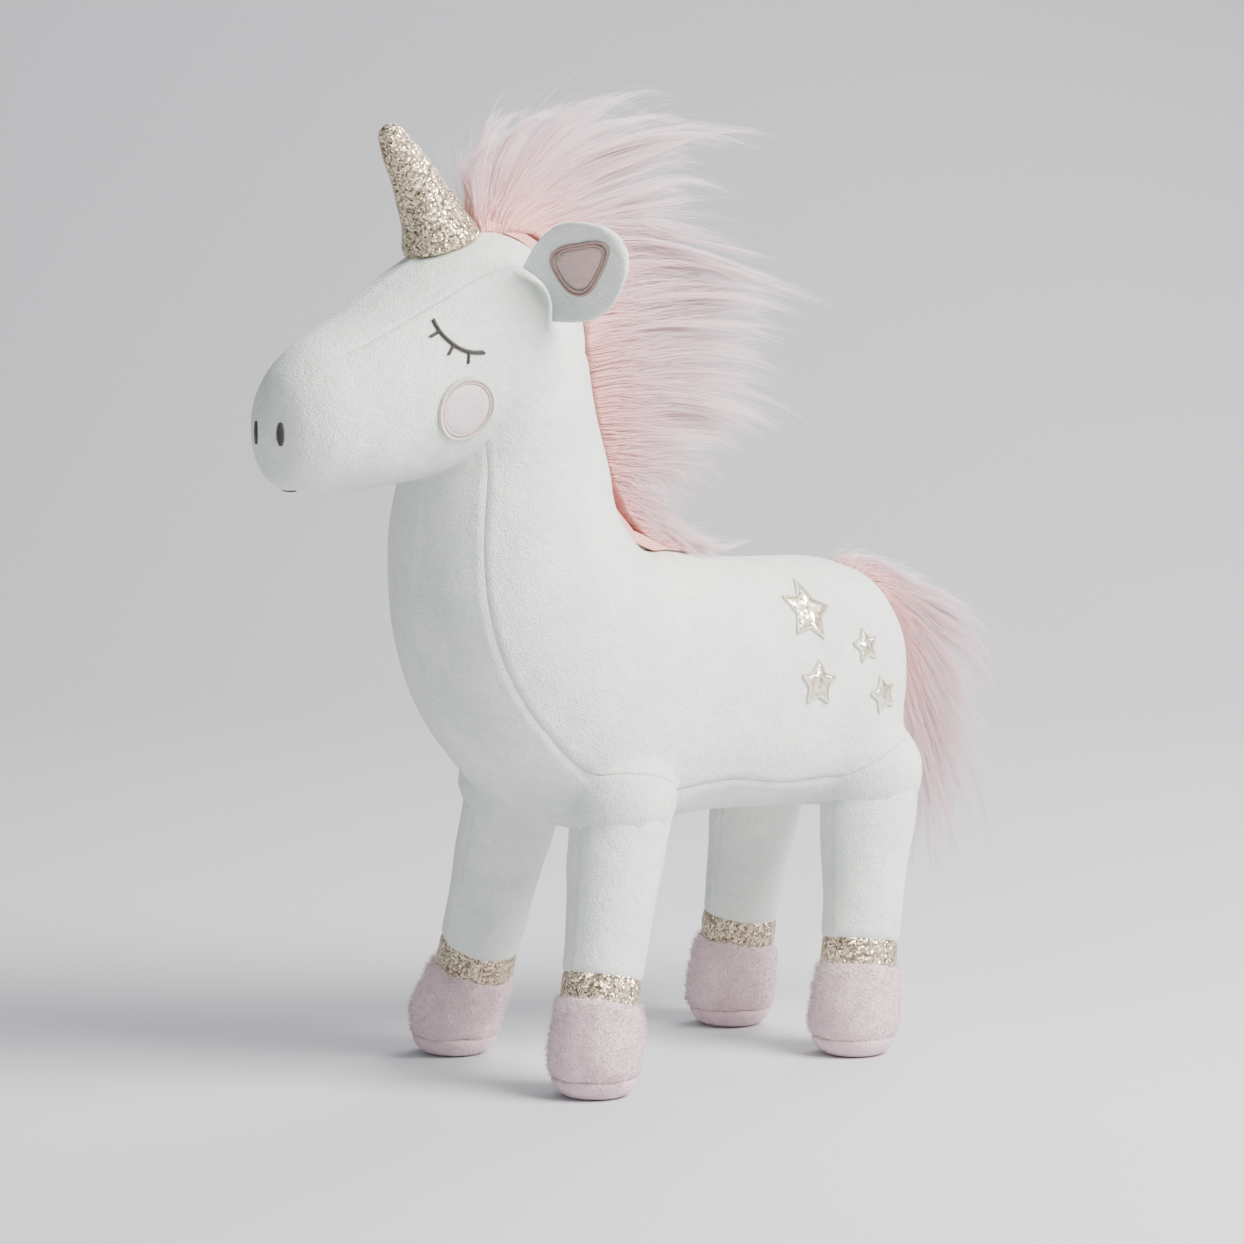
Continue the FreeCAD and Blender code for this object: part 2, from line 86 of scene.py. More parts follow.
def soft_light(name, azimuth, elevation, distance, size, power, colour):
    """A square soft box at a compass and height angle in degrees, facing the middle of the toy."""
    data = bpy.data.lights.new(name, "AREA")
    data.shape = "SQUARE"
    data.size = size
    data.energy = power
    data.color = colour
    light = bpy.data.objects.new(name, data)
    centre = Vector((0.0, 0.0, 0.18))
    aim(light, centre + direction(math.radians(azimuth), math.radians(elevation)) * distance, centre)


soft_light("key", 112, 40, 1.7, 1.0, 98.0, (1.0, 0.985, 0.96))
soft_light("fill", 5, 20, 2.2, 1.6, 5.0, (0.78, 0.95, 0.97))
soft_light("rim", -155, 40, 1.9, 0.9, 26.0, (1.0, 0.96, 0.97))

world = bpy.data.worlds.new("pale_sky")
world.use_nodes = True
world.node_tree.nodes["Background"].inputs["Color"].default_value = (0.74, 0.80, 0.82, 1.0)
world.node_tree.nodes["Background"].inputs["Strength"].default_value = 0.47
scene.world = world


def mesh_object(name, points, faces):
    """A new smooth-shaded mesh object from points in metres."""
    mesh = bpy.data.meshes.new(name)
    mesh.from_pydata([tuple(p) for p in points], [], [tuple(f) for f in faces])
    mesh.update()
    mesh.shade_smooth()
    obj = bpy.data.objects.new(name, mesh)
    scene.collection.objects.link(obj)
    return obj


FLOOR_HALF = 3.0
SWEEP_START = 1.2
SWEEP_RADIUS = 1.0
BACKDROP_TOP = 4.0
sweep = [(-FLOOR_HALF, 0.0), (SWEEP_START, 0.0)]
for k in range(1, 13):
    turn = math.radians(90.0 * k / 12)
    sweep.append((SWEEP_START + SWEEP_RADIUS * math.sin(turn), SWEEP_RADIUS * (1.0 - math.cos(turn))))
sweep.append((SWEEP_START + SWEEP_RADIUS, BACKDROP_TOP))
away = Vector((-math.sin(VIEW_AZIMUTH), math.cos(VIEW_AZIMUTH), 0.0))
aside = Vector((math.cos(VIEW_AZIMUTH), math.sin(VIEW_AZIMUTH), 0.0))
backdrop_points = []
for reach, height in sweep:
    for side in (-FLOOR_HALF, FLOOR_HALF):
        backdrop_points.append(away * reach + aside * side + Vector((0.0, 0.0, height)))
backdrop_faces = [(2 * k, 2 * k + 1, 2 * k + 3, 2 * k + 2) for k in range(len(sweep) - 1)]
backdrop = mesh_object("studio_floor", backdrop_points, backdrop_faces)
paper = bpy.data.materials.new("floor_paper")
paper.use_nodes = True
paper_shader = paper.node_tree.nodes["Principled BSDF"]
paper_shader.inputs["Base Color"].default_value = (0.60, 0.60, 0.63, 1.0)
paper_shader.inputs["Roughness"].default_value = 0.85
backdrop.data.materials.append(paper)


# ---------------------------------------------------------------------------
# Body and neck: cream short-pile plush in three panels, two sides and one chest
# and belly gusset, sewn edge to edge inside out, turned and packed with fibre.
# A pressure simulation holds the panels out and the seams sit in shallow valleys.
# ---------------------------------------------------------------------------

MM = 0.001
WITHERS_YZ = (6.0, 246.0)
RING_STEP = 4.2
CLOTH_THICK = 1.6 * MM
# hip x, y; ankle x, y; hoof x, y
LEGS = {
    "front_left": ((32, -49), (40, -66), (40, -68)),
    "front_right": ((-32, -54), (-57, -55), (-65, -59)),
    "rear_left": ((32, 84), (40, 71.5), (40, 69)),
    "rear_right": ((-32, 79), (-42, 75), (-42, 71.5)),
}
HIPS = [hip for hip, _, _ in LEGS.values()]
HIP_Z, HIP_RADIUS = 106.0, 20.5


def fan_row(lean, near, far, half_width):
    """A body section through the withers, from `near` to `far` along its own plane."""
    a = math.radians(lean)
    middle = (near + far) / 2.0
    y = WITHERS_YZ[0] - math.sin(a) * middle
    z = WITHERS_YZ[1] - math.cos(a) * middle
    return (lean, y, z, half_width, (far - near) / 2.0, 2.2)


# lean, y, z, half width, half height, squareness
BODY_ROWS = [
    (0, 118.5, 157, 5, 5, 2.2), (0, 116, 156.5, 17, 19, 2.2), (0, 109, 155.5, 29, 33, 2.3),
    (0, 98, 154, 39, 43.5, 2.4), (0, 82, 153, 46, 50.5, 2.5), (0, 55, 153, 48, 52, 2.5),
    (0, 30, 153.8, 48.5, 52.8, 2.5), fan_row(0, 36, 145, 49), fan_row(25, 38.5, 157, 50),
    fan_row(45, 41.5, 157, 49.5), fan_row(65, 44.5, 145.5, 47.5), fan_row(80, 46.2, 134.5, 44.5),
    fan_row(90, 46.5, 129.5, 42), (90, -87, 272, 41, 41, 2), (90, -88.5, 288, 39.5, 39.8, 2),
    (90, -91, 300, 31, 31, 2), (90, -92, 305, 16, 16, 2),
]


def spline(knots, step=None, count=None):
    """Smooth curve through rows of numbers, spaced evenly by their first three values or by `count`."""
    p = np.array(knots, float)
    run = np.r_[0, np.cumsum(np.linalg.norm(np.diff(p[:, :3], axis=0), axis=1))]
    n = len(p)
    h = np.diff(run)
    grid = np.zeros((n, n))
    side = np.zeros_like(p)
    grid[0, 0] = grid[-1, -1] = 1.0
    for i in range(1, n - 1):
        grid[i, i - 1: i + 2] = h[i - 1], 2 * (h[i - 1] + h[i]), h[i]
        side[i] = 6 * ((p[i + 1] - p[i]) / h[i] - (p[i] - p[i - 1]) / h[i - 1])
    bend = np.linalg.solve(grid, side)
    total = count or max(2, int(round(run[-1] / step)) + 1)
    at = np.linspace(0, run[-1], total)
    k = np.clip(np.searchsorted(run, at, side="right") - 1, 0, n - 2)
    a = ((run[k + 1] - at) / h[k])[:, None]
    b = 1 - a
    hk = h[k][:, None]
    return a * p[k] + b * p[k + 1] + ((a ** 3 - a) * bend[k] + (b ** 3 - b) * bend[k + 1]) * hk ** 2 / 6


def half_ring(row, seam_angle, top_count, low_count):
    """The +X half of a section from its top to its bottom, with a point exactly on the seam."""
    lean, y, z, half_w, half_h, power = row
    a = math.radians(lean)
    out = []
    for start, end, count in ((math.pi / 2, seam_angle, top_count), (seam_angle, -math.pi / 2, low_count)):
        t = np.linspace(start, end, 60)
        u = np.abs(np.cos(t)) ** (2 / power) * half_w
        v = np.sign(np.sin(t)) * np.abs(np.sin(t)) ** (2 / power) * half_h
        run = np.r_[0, np.cumsum(np.hypot(np.diff(u), np.diff(v)))]
        at = np.linspace(0, run[-1], count + 1)
        u, v = np.interp(at, run, u), np.interp(at, run, v)
        out += list(zip(u, v))[(1 if out else 0):]
    return [(u, y + math.sin(a) * v, z + math.cos(a) * v) for u, v in out]


def wall_faces(rings, around):
    """Quads between closed rings of points laid one after another."""
    return [(i * around + k, i * around + (k + 1) % around,
             (i + 1) * around + (k + 1) % around, (i + 1) * around + k)
            for i in range(rings - 1) for k in range(around)]


def cloth_tube(rows, seam_angle_of, top_count, low_count, low_is_gusset):
    """Points, faces and panel number of a closed stuffed form made of rings.
    Panels: 0 the +X side, 1 the -X side, 2 the gusset."""
    rings = []
    for row in rows:
        half = half_ring(row, seam_angle_of(row), top_count, low_count)
        rings.append(half + [(-x, y, z) for x, y, z in half[-2:0:-1]])
    around = len(rings[0])
    half_around = top_count + low_count
    points = [p for ring in rings for p in ring]

    def panel(k):
        """Panel number of a column of faces."""
        j = k if k < half_around else around - 1 - k
        in_low = j >= top_count
        if in_low == low_is_gusset:
            return 2
        return 0 if k < half_around else 1

    faces = wall_faces(len(rings), around)
    panels = [panel(k) for k in range(around)] * (len(rings) - 1)
    for i, flip in ((0, False), (len(rings) - 1, True)):
        centre = len(points)
        points.append(tuple(np.mean(rings[i], axis=0)))
        for k in range(around):
            n = (k + 1) % around
            face = (i * around + k, i * around + n, centre)
            faces.append(face if flip else face[::-1])
            panels.append(panel(k))
    seam_columns = (0, top_count, half_around, around - top_count)
    seams = {c: [i * around + c for i in range(len(rings))] for c in seam_columns}
    return np.array(points) * MM, faces, panels, seams


def coordinates(obj):
    """Places of a mesh's points."""
    co = np.zeros(len(obj.data.vertices) * 3)
    obj.data.vertices.foreach_get("co", co)
    return co.reshape(-1, 3)


def set_coordinates(obj, co):
    """Moves a mesh's points to new places."""
    obj.data.vertices.foreach_set("co", np.asarray(co, float).ravel())
    obj.data.update()


def outward(obj):
    """Surface direction at each point of a mesh."""
    normals = np.zeros(len(obj.data.vertices) * 3)
    obj.data.vertices.foreach_get("normal", normals)
    return normals.reshape(-1, 3)


def face_out(obj):
    """Turns every face of a closed mesh outwards."""
    work = bmesh.new()
    work.from_mesh(obj.data)
    bmesh.ops.recalc_face_normals(work, faces=work.faces)
    work.to_mesh(obj.data)
    work.free()
    obj.data.update()


def sewn_form(name, rows, seam_angle_of, top_count, low_count, low_is_gusset):
    """The empty skin with its panels numbered by material slot, its seams, and the points held by them."""
    rows = spline([r[1:3] + (0,) + (r[0],) + r[3:] for r in rows], step=RING_STEP)
    rows = [(r[3], r[0], r[1], max(r[4], 1.0), max(r[5], 1.0), r[6]) for r in rows]
    points, faces, panels, seams = cloth_tube(rows, seam_angle_of, top_count, low_count, low_is_gusset)
    skin = mesh_object(name, points, faces)
    for _ in range(3):
        skin.data.materials.append(None)
    skin.data.polygons.foreach_set("material_index", panels)
    face_out(skin)
    return skin, seams, sorted({i for line in seams.values() for i in line})


def fill_with_fibre(obj, held, pressure, cap, start_smaller, give):
    """Packs the sewn cloth: a pressure simulation held at the seams, no point moving more than `cap`.
    `give` is how far each point may leave its cut shape: 0 where another piece is sewn on, 1 in the open."""
    cut_shape = coordinates(obj)
    loose = np.ones(len(obj.data.vertices))
    loose[held] = 0.0
    rest = cut_shape - outward(obj) * (loose * start_smaller)[:, None]
    set_coordinates(obj, rest)
    group = obj.vertex_groups.new(name="sewn")
    group.add([int(i) for i in held], 1.0, "REPLACE")
    cloth = obj.modifiers.new("fibre", "CLOTH")
    cloth.settings.quality = 5
    cloth.settings.mass = 0.15
    cloth.settings.use_pressure = True
    cloth.settings.uniform_pressure_force = pressure
    cloth.settings.vertex_group_mass = "sewn"
    cloth.settings.tension_stiffness = 20.0
    cloth.settings.compression_stiffness = 20.0
    cloth.settings.bending_stiffness = 0.8
    cloth.settings.effector_weights.gravity = 0.0
    cloth.collision_settings.use_collision = False
    for step in range(1, FILL_STEPS + 1):
        scene.frame_set(step)
    packed = obj.evaluated_get(bpy.context.evaluated_depsgraph_get())
    moved = np.array([v.co for v in packed.data.vertices], float) - rest
    far = np.linalg.norm(moved, axis=1)
    moved *= np.minimum(1.0, cap / np.maximum(far, 1e-9))[:, None]
    obj.modifiers.remove(cloth)
    scene.frame_set(1)
    set_coordinates(obj, cut_shape + (rest + moved - cut_shape) * give[:, None])


def keep_result(obj, modifier):
    """Makes what a modifier gives the piece's own mesh."""
    done = bpy.data.meshes.new_from_object(obj.evaluated_get(bpy.context.evaluated_depsgraph_get()))
    obj.modifiers.remove(modifier)
    obj.data = done
    obj.data.shade_smooth()


def finer(obj, levels):
    """Subdivides the cloth."""
    smooth = obj.modifiers.new("finer", "SUBSURF")
    smooth.levels = levels
    smooth.render_levels = levels
    keep_result(obj, smooth)


def sink_seams(obj, lines, depth, reach):
    """Draws the cloth in along the sewn lines, given as arrays of points."""
    spots = np.concatenate([spline(line, count=6 * len(line)) for line in lines])
    tree = KDTree(len(spots))
    for i, p in enumerate(spots):
        tree.insert(p, i)
    tree.balance()
    co, normal = coordinates(obj), outward(obj)
    away = np.array([tree.find(p)[2] for p in co])
    set_coordinates(obj, co - normal * (depth * np.exp(-(away / reach) ** 2))[:, None])


def uneven(obj, size, height, seed):
    """Slow lumps from the fibre inside."""
    co, normal = coordinates(obj), outward(obj)
    lift = np.array([noise.noise(Vector(p) / size + Vector((seed, 0, 0))) for p in co])
    set_coordinates(obj, co + normal * (lift * height)[:, None])


def surface_of(obj):
    """The skin as a surface that lines can be dropped on."""
    return BVHTree.FromPolygons([Vector(p) for p in coordinates(obj)],
                                [p.vertices[:] for p in obj.data.polygons])


def cut_panels(obj, names):
    """Parts the skin into its panels, each with the thickness of the cloth."""
    mesh = obj.data
    co = coordinates(obj)
    panel = np.zeros(len(mesh.polygons), int)
    mesh.polygons.foreach_get("material_index", panel)
    made = []
    for number, name in enumerate(names):
        picked = [mesh.polygons[i].vertices[:] for i in np.flatnonzero(panel == number)]
        used = sorted({v for f in picked for v in f})
        new = {v: i for i, v in enumerate(used)}
        piece = mesh_object(name, co[used], [[new[v] for v in f] for f in picked])
        shell = piece.modifiers.new("cloth", "SOLIDIFY")
        shell.thickness = CLOTH_THICK
        shell.offset = -1.0
        shell.use_rim = True
        keep_result(piece, shell)
        made.append(piece)
    bpy.data.objects.remove(obj)
    return made


def body_seam_angle(row):
    """Where the gusset's seam crosses a section: the gusset narrows from belly to throat."""
    low_z = row[2] - math.cos(math.radians(row[0])) * row[4]
    gusset_half_width = np.interp(low_z, (130, 180, 240, 300), (38, 34, 30, 28))
    share = min(gusset_half_width / row[3], 0.9)
    return -math.acos(share ** (row[5] / 2.0))


SIDE_COLUMNS, GUSSET_COLUMNS = 22, 9
FILL_STEPS = 20
# pressure, furthest move, how much smaller the empty skin starts
BODY_FILL = (4.0, 3.0 * MM, 1.2 * MM)
# from a hip, in millimetres: where the cloth begins to give, and over how far
HIP_FIRM, HIP_EASE = 30.0, 25.0
body, body_seams, held = sewn_form(
    "body_skin", BODY_ROWS, body_seam_angle, SIDE_COLUMNS, GUSSET_COLUMNS, low_is_gusset=True)
points = coordinates(body) / MM
from_hips = np.min([np.linalg.norm(points - (x, y, HIP_Z), axis=1) for x, y in HIPS], axis=0)
fill_with_fibre(body, held, *BODY_FILL, np.clip((from_hips - HIP_FIRM) / HIP_EASE, 0, 1))
sewn = {c: coordinates(body)[line] for c, line in body_seams.items()}
finer(body, 2)
uneven(body, 30 * MM, 0.7 * MM, 3.0)
# the body swells over the top of each leg, where the leg is sewn into its underside
SWELL_Z, SWELL_RADIUS, SWELL_SOFT = 115.5, 21.8, 7.0
co = coordinates(body) / MM
for hip_x, hip_y in HIPS:
    from_hip = co - np.array([hip_x, hip_y, SWELL_Z])
    reach = np.linalg.norm(from_hip, axis=1)
    lifted = (reach + SWELL_RADIUS + np.sqrt((reach - SWELL_RADIUS) ** 2 + SWELL_SOFT ** 2)) / 2
    fade = np.clip((SWELL_RADIUS * 2.4 - reach) / (SWELL_RADIUS * 1.2), 0, 1)
    co = co + from_hip / np.maximum(reach, 1e-6)[:, None] * ((lifted - reach) * fade)[:, None]
set_coordinates(body, co * MM)
gusset_lines = [sewn[SIDE_COLUMNS], sewn[2 * (SIDE_COLUMNS + GUSSET_COLUMNS) - SIDE_COLUMNS]]
sink_seams(body, gusset_lines, 1.1 * MM, 1.7 * MM)
sink_seams(body, [sewn[0]], 0.5 * MM, 1.5 * MM)
body_shape = surface_of(body)
torso_left, torso_right, gusset = cut_panels(body, ("body_side_left", "body_side_right", "chest_and_belly"))


def node_group(name, inputs, outputs):
    """An empty shader group with its sockets; returns the group, its input and its output node."""
    group = bpy.data.node_groups.new(name, "ShaderNodeTree")
    for label, kind, value in inputs:
        socket = group.interface.new_socket(label, in_out="INPUT", socket_type=kind)
        if value is not None:
            socket.default_value = value
    for label, kind in outputs:
        group.interface.new_socket(label, in_out="OUTPUT", socket_type=kind)
    return group, group.nodes.new("NodeGroupInput"), group.nodes.new("NodeGroupOutput")


def noise_node(tree, place, scale, detail, roughness=0.55):
    """Cloudy noise from 0 to 1."""
    node = tree.nodes.new("ShaderNodeTexNoise")
    node.inputs["Scale"].default_value = scale
    node.inputs["Detail"].default_value = detail
    node.inputs["Roughness"].default_value = roughness
    tree.links.new(place, node.inputs["Vector"])
    return node.outputs["Fac"]


def remap(tree, value, low, high, new_low, new_high):
    """A value moved from one range to another, kept inside it."""
    node = tree.nodes.new("ShaderNodeMapRange")
    node.inputs["From Min"].default_value = low
    node.inputs["From Max"].default_value = high
    node.inputs["To Min"].default_value = new_low
    node.inputs["To Max"].default_value = new_high
    tree.links.new(value, node.inputs["Value"])
    return node.outputs["Result"]


def mixed(tree, factor, first, second):
    """A colour mix; first and second are sockets or plain colours."""
    node = tree.nodes.new("ShaderNodeMix")
    node.data_type = "RGBA"
    tree.links.new(factor, node.inputs["Factor"])
    for value, label in ((first, "A"), (second, "B")):
        socket = [s for s in node.inputs if s.name == label and s.type == "RGBA"][0]
        if isinstance(value, tuple):
            socket.default_value = value
        else:
            tree.links.new(value, socket)
    return [s for s in node.outputs if s.type == "RGBA"][0]


def arithmetic(tree, kind, first, second):
    """A sum or product of two sockets, or of a socket and a number."""
    node = tree.nodes.new("ShaderNodeMath")
    node.operation = kind
    for value, socket in ((first, node.inputs[0]), (second, node.inputs[1])):
        if isinstance(value, (int, float)):
            socket.default_value = value
        else:
            tree.links.new(value, socket)
    return node.outputs[0]


# pile cloth: fine fibre ends, brushed patches where the nap lies another way, crushed tracks;
# between the fibre ends and over the brushed patches and tracks the colour is mixed towards painted shade
pile, pile_in, pile_out = node_group(
    "pile_cloth",
    [("Place", "NodeSocketVector", None), ("Colour", "NodeSocketColor", (0.8, 0.8, 0.8, 1)),
     ("Painted shade colour", "NodeSocketColor", (0.5, 0.5, 0.5, 1)), ("Fibre scale", "NodeSocketFloat", 1500.0),
     ("Brushed amount", "NodeSocketFloat", 0.5)],
    [("Colour", "NodeSocketColor"), ("Roughness", "NodeSocketFloat"), ("Height", "NodeSocketFloat")])
place = pile_in.outputs["Place"]
brushed = noise_node(pile, place, 34.0, 3.0)
smudge = noise_node(pile, place, 170.0, 3.0, 0.6)
fibre_node = pile.nodes.new("ShaderNodeTexNoise")
fibre_node.inputs["Detail"].default_value = 2.0
pile.links.new(place, fibre_node.inputs["Vector"])
pile.links.new(pile_in.outputs["Fibre scale"], fibre_node.inputs["Scale"])
fibre = fibre_node.outputs["Fac"]
nap = arithmetic(pile, "MULTIPLY", remap(pile, brushed, 0.38, 0.62, 0.0, 1.0),
                 pile_in.outputs["Brushed amount"])
tracks = arithmetic(pile, "MULTIPLY", remap(pile, smudge, 0.42, 0.68, 0.0, 0.5),
                    pile_in.outputs["Brushed amount"])
ends = remap(pile, fibre, 0.32, 0.66, 0.45, 0.0)
depth = arithmetic(pile, "ADD", arithmetic(pile, "MULTIPLY", nap, 0.40),
                   arithmetic(pile, "MULTIPLY", tracks, 0.55))
depth = arithmetic(pile, "ADD", depth, ends)
# painted shade: the pile's colour mixed towards its darker shade colour by the depth
pile.links.new(mixed(pile, depth, pile_in.outputs["Colour"], pile_in.outputs["Painted shade colour"]),
               pile_out.inputs["Colour"])
pile.links.new(remap(pile, depth, 0.0, 1.0, 0.80, 0.96), pile_out.inputs["Roughness"])
height = arithmetic(pile, "ADD", fibre, arithmetic(pile, "MULTIPLY", smudge, 1.3))
pile.links.new(height, pile_out.inputs["Height"])


def blank_material(name):
    """A material with its shader and the toy's own coordinates."""
    material = bpy.data.materials.new(name)
    material.use_nodes = True
    tree = material.node_tree
    shader = tree.nodes["Principled BSDF"]
    place = tree.nodes.new("ShaderNodeTexCoord").outputs["Object"]
    return material, tree, shader, place


def use_group(tree, shared, settings):
    """A shared effect inside a material, with its inputs set."""
    group = tree.nodes.new("ShaderNodeGroup")
    group.node_tree = shared
    for label, value in settings.items():
        group.inputs[label].default_value = value
    return group


def bump(tree, shader, height, distance):
    """Fine relief too small for the mesh."""
    node = tree.nodes.new("ShaderNodeBump")
    node.inputs["Distance"].default_value = distance
    node.inputs["Strength"].default_value = 1.0
    tree.links.new(height, node.inputs["Height"])
    tree.links.new(node.outputs["Normal"], shader.inputs["Normal"])


def plush(name, colour, painted_shade, scale, brushed_amount, relief, sheen):
    """Soft pile cloth in one colour, with painted shade in a deeper colour between the fibres and over its
    brushed nap.
    """
    material, tree, shader, place = blank_material(name)
    group = use_group(tree, pile, {"Colour": colour, "Painted shade colour": painted_shade, "Fibre scale": scale,
                                   "Brushed amount": brushed_amount})
    tree.links.new(place, group.inputs["Place"])
    tree.links.new(group.outputs["Colour"], shader.inputs["Base Color"])
    tree.links.new(group.outputs["Roughness"], shader.inputs["Roughness"])
    bump(tree, shader, group.outputs["Height"], relief)
    shader.inputs["Sheen Weight"].default_value = sheen
    shader.inputs["Sheen Roughness"].default_value = 0.45
    shader.inputs["Sheen Tint"].default_value = (1.0, 1.0, 1.0, 1.0)
    shader.inputs["Specular IOR Level"].default_value = 0.15
    return material


# the cream plush's greenish second colour is painted shade between the fibres and on the brushed nap
cream_plush = plush("cream_plush", (0.90, 0.91, 0.85, 1), (0.60, 0.68, 0.63, 1), 1300.0, 0.75, 0.0006, 0.4)


def dress(obj, material):
    """Gives a piece its material."""
    obj.data.materials.clear()
    obj.data.materials.append(material)


def bend_at_neck(obj):
    """Bakes the piece's placement into its mesh."""
    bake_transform(obj)


for piece, nodes in ((torso_left, ("torso_side_left", "torso_stuffing")),
                     (torso_right, ("torso_side_right",)), (gusset, ("chest_belly_gusset",))):
    dress(piece, cream_plush)
    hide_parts(*nodes)
    bend_at_neck(piece)


# ---------------------------------------------------------------------------
# Head: the same plush in three panels, two cheeks and a gusset from the nose over
# the brow to the nape, stuffed firm and sewn to the neck.
# ---------------------------------------------------------------------------

HEAD_ROWS = [
    (0, -47.2, 296, 2.5, 3.5, 2), (0, -48, 296, 6, 8, 2), (0, -53, 295, 16, 19, 2),
    (0, -60, 294, 26, 30, 2), (0, -69, 293, 34, 38.5, 2), (0, -80, 293, 39.5, 45, 2),
    (0, -94, 293, 43, 48.5, 2), (0, -110, 291.5, 42, 47, 2), (0, -128, 286.5, 39, 43, 2),
    (0, -145, 280, 35.5, 38.5, 2), (0, -161, 274, 32, 34, 2), (0, -174, 270.5, 28.5, 30, 2),
    (0, -184, 267.5, 24, 26, 2), (0, -191, 265.5, 17.5, 20, 2), (0, -195, 264.5, 7.5, 9, 2),
    (0, -195.8, 264.3, 2.5, 3, 2),
]


def head_seam_angle(row):
    """Where the brow gusset's seam crosses a section."""
    half = np.interp(row[1], (-200, -165, -130, -95, -60, -40), (10, 20, 27, 30, 26, 20))
    return math.acos(min(half / row[3], 0.9))


CHEEK_COLUMNS, BROW_COLUMNS = 20, 10
head, head_seams, held = sewn_form(
    "head_skin", HEAD_ROWS, head_seam_angle, BROW_COLUMNS, CHEEK_COLUMNS, low_is_gusset=False)
# the nose keeps its cut shape: its seams meet there and lie hidden in the nap
NOSE_FRONT, NOSE_BACK = -172.0, -140.0
behind_nose = coordinates(head)[:, 1] / MM
fill_with_fibre(head, held, *BODY_FILL,
                np.clip((behind_nose - NOSE_FRONT) / (NOSE_BACK - NOSE_FRONT), 0, 1))
sewn = {c: coordinates(head)[line] for c, line in head_seams.items()}
finer(head, 2)
uneven(head, 26 * MM, 0.5 * MM, 9.0)
around = 2 * (CHEEK_COLUMNS + BROW_COLUMNS)
seen = {c: line[line[:, 1] / MM > NOSE_FRONT] for c, line in sewn.items()}
sink_seams(head, [seen[BROW_COLUMNS], seen[around - BROW_COLUMNS]], 0.7 * MM, 1.5 * MM)
sink_seams(head, [seen[BROW_COLUMNS + CHEEK_COLUMNS]], 0.4 * MM, 1.5 * MM)
head_shape = surface_of(head)
head_left, head_right, brow = cut_panels(head, ("head_side_left", "head_side_right", "head_top"))
for piece, nodes in ((head_left, ("head_side_left", "head_stuffing")),
                     (head_right, ("head_side_right",)), (brow, ("head_top_gusset",))):
    dress(piece, cream_plush)
    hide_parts(*nodes)
    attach(piece, "head")


# ---------------------------------------------------------------------------
# Legs: four plush tubes with a seam down the front and the back, closed over the
# hip inside the body, stuffed firm.
# ---------------------------------------------------------------------------

HOOF_Z, SOLE_CENTRE_Z = 36.0, 17.0
LEG_PROFILE = [(42, 13.4), (45.2, 15.2), (46.4, 16.4), (49, 17.0), (60, 17.4), (78, 18.5), (94, 19.8),
               (HIP_Z, HIP_RADIUS)]
LEG_COLUMNS = 32


def leg_centre(leg, z):
    """Middle of a leg at a height: straight from hip to ankle, then over the hoof to the floor."""
    hip, ankle, foot = LEGS[leg]
    up = (z - HOOF_Z) / (HIP_Z - HOOF_Z)
    if z >= HOOF_Z:
        up = min(up, 1.0)
        return np.array([ankle[0] + (hip[0] - ankle[0]) * up, ankle[1] + (hip[1] - ankle[1]) * up])
    down = min(1.0, (HOOF_Z - z) / (HOOF_Z - SOLE_CENTRE_Z))
    return np.array([ankle[0] + (foot[0] - ankle[0]) * down, ankle[1] + (foot[1] - ankle[1]) * down])


def leg_tilt(leg, z):
    """Drop of a ring per millimetre in x and y that lays it square to the leg; level at floor and hip."""
    hip, ankle, _ = LEGS[leg]
    rise = HIP_Z - HOOF_Z
    share = np.interp(z, (9.0, 30.0, 60.0, HIP_Z - 12), (0.0, 1.0, 1.0, 0.0))
    return share * (hip[0] - ankle[0]) / rise, share * (hip[1] - ankle[1]) / rise


def turned_form(leg, profile, columns):
    """Closed form of rings (height, radius) round a leg's own centre line; column 0 faces forwards."""
    points = []
    for z, radius in profile:
        x, y = leg_centre(leg, z)
        drop_x, drop_y = leg_tilt(leg, z)
        for k in range(columns):
            a = 2 * math.pi * k / columns
            dx, dy = radius * math.sin(a), -radius * math.cos(a)
            points.append((x + dx, y + dy, z - drop_x * dx - drop_y * dy))
    faces = wall_faces(len(profile), columns)
    for i, flip in ((0, True), (len(profile) - 1, False)):
        z = profile[i][0]
        x, y = leg_centre(leg, z)
        middle = len(points)
        points.append((x, y, z))
        for k in range(columns):
            face = (i * columns + k, i * columns + (k + 1) % columns, middle)
            faces.append(face[::-1] if flip else face)
    return np.array(points) * MM, faces


leg_profile = [tuple(r[[0, 3]]) for r in spline([(z, 0, 0, r) for z, r in LEG_PROFILE], step=3.2)]
for k in range(1, 7):
    rise = math.radians(90.0 * k / 6.6)
    leg_profile.append((HIP_Z + HIP_RADIUS * math.sin(rise), HIP_RADIUS * math.cos(rise)))

LEG_FILL = (3.0, 2.0 * MM, 0.8 * MM)
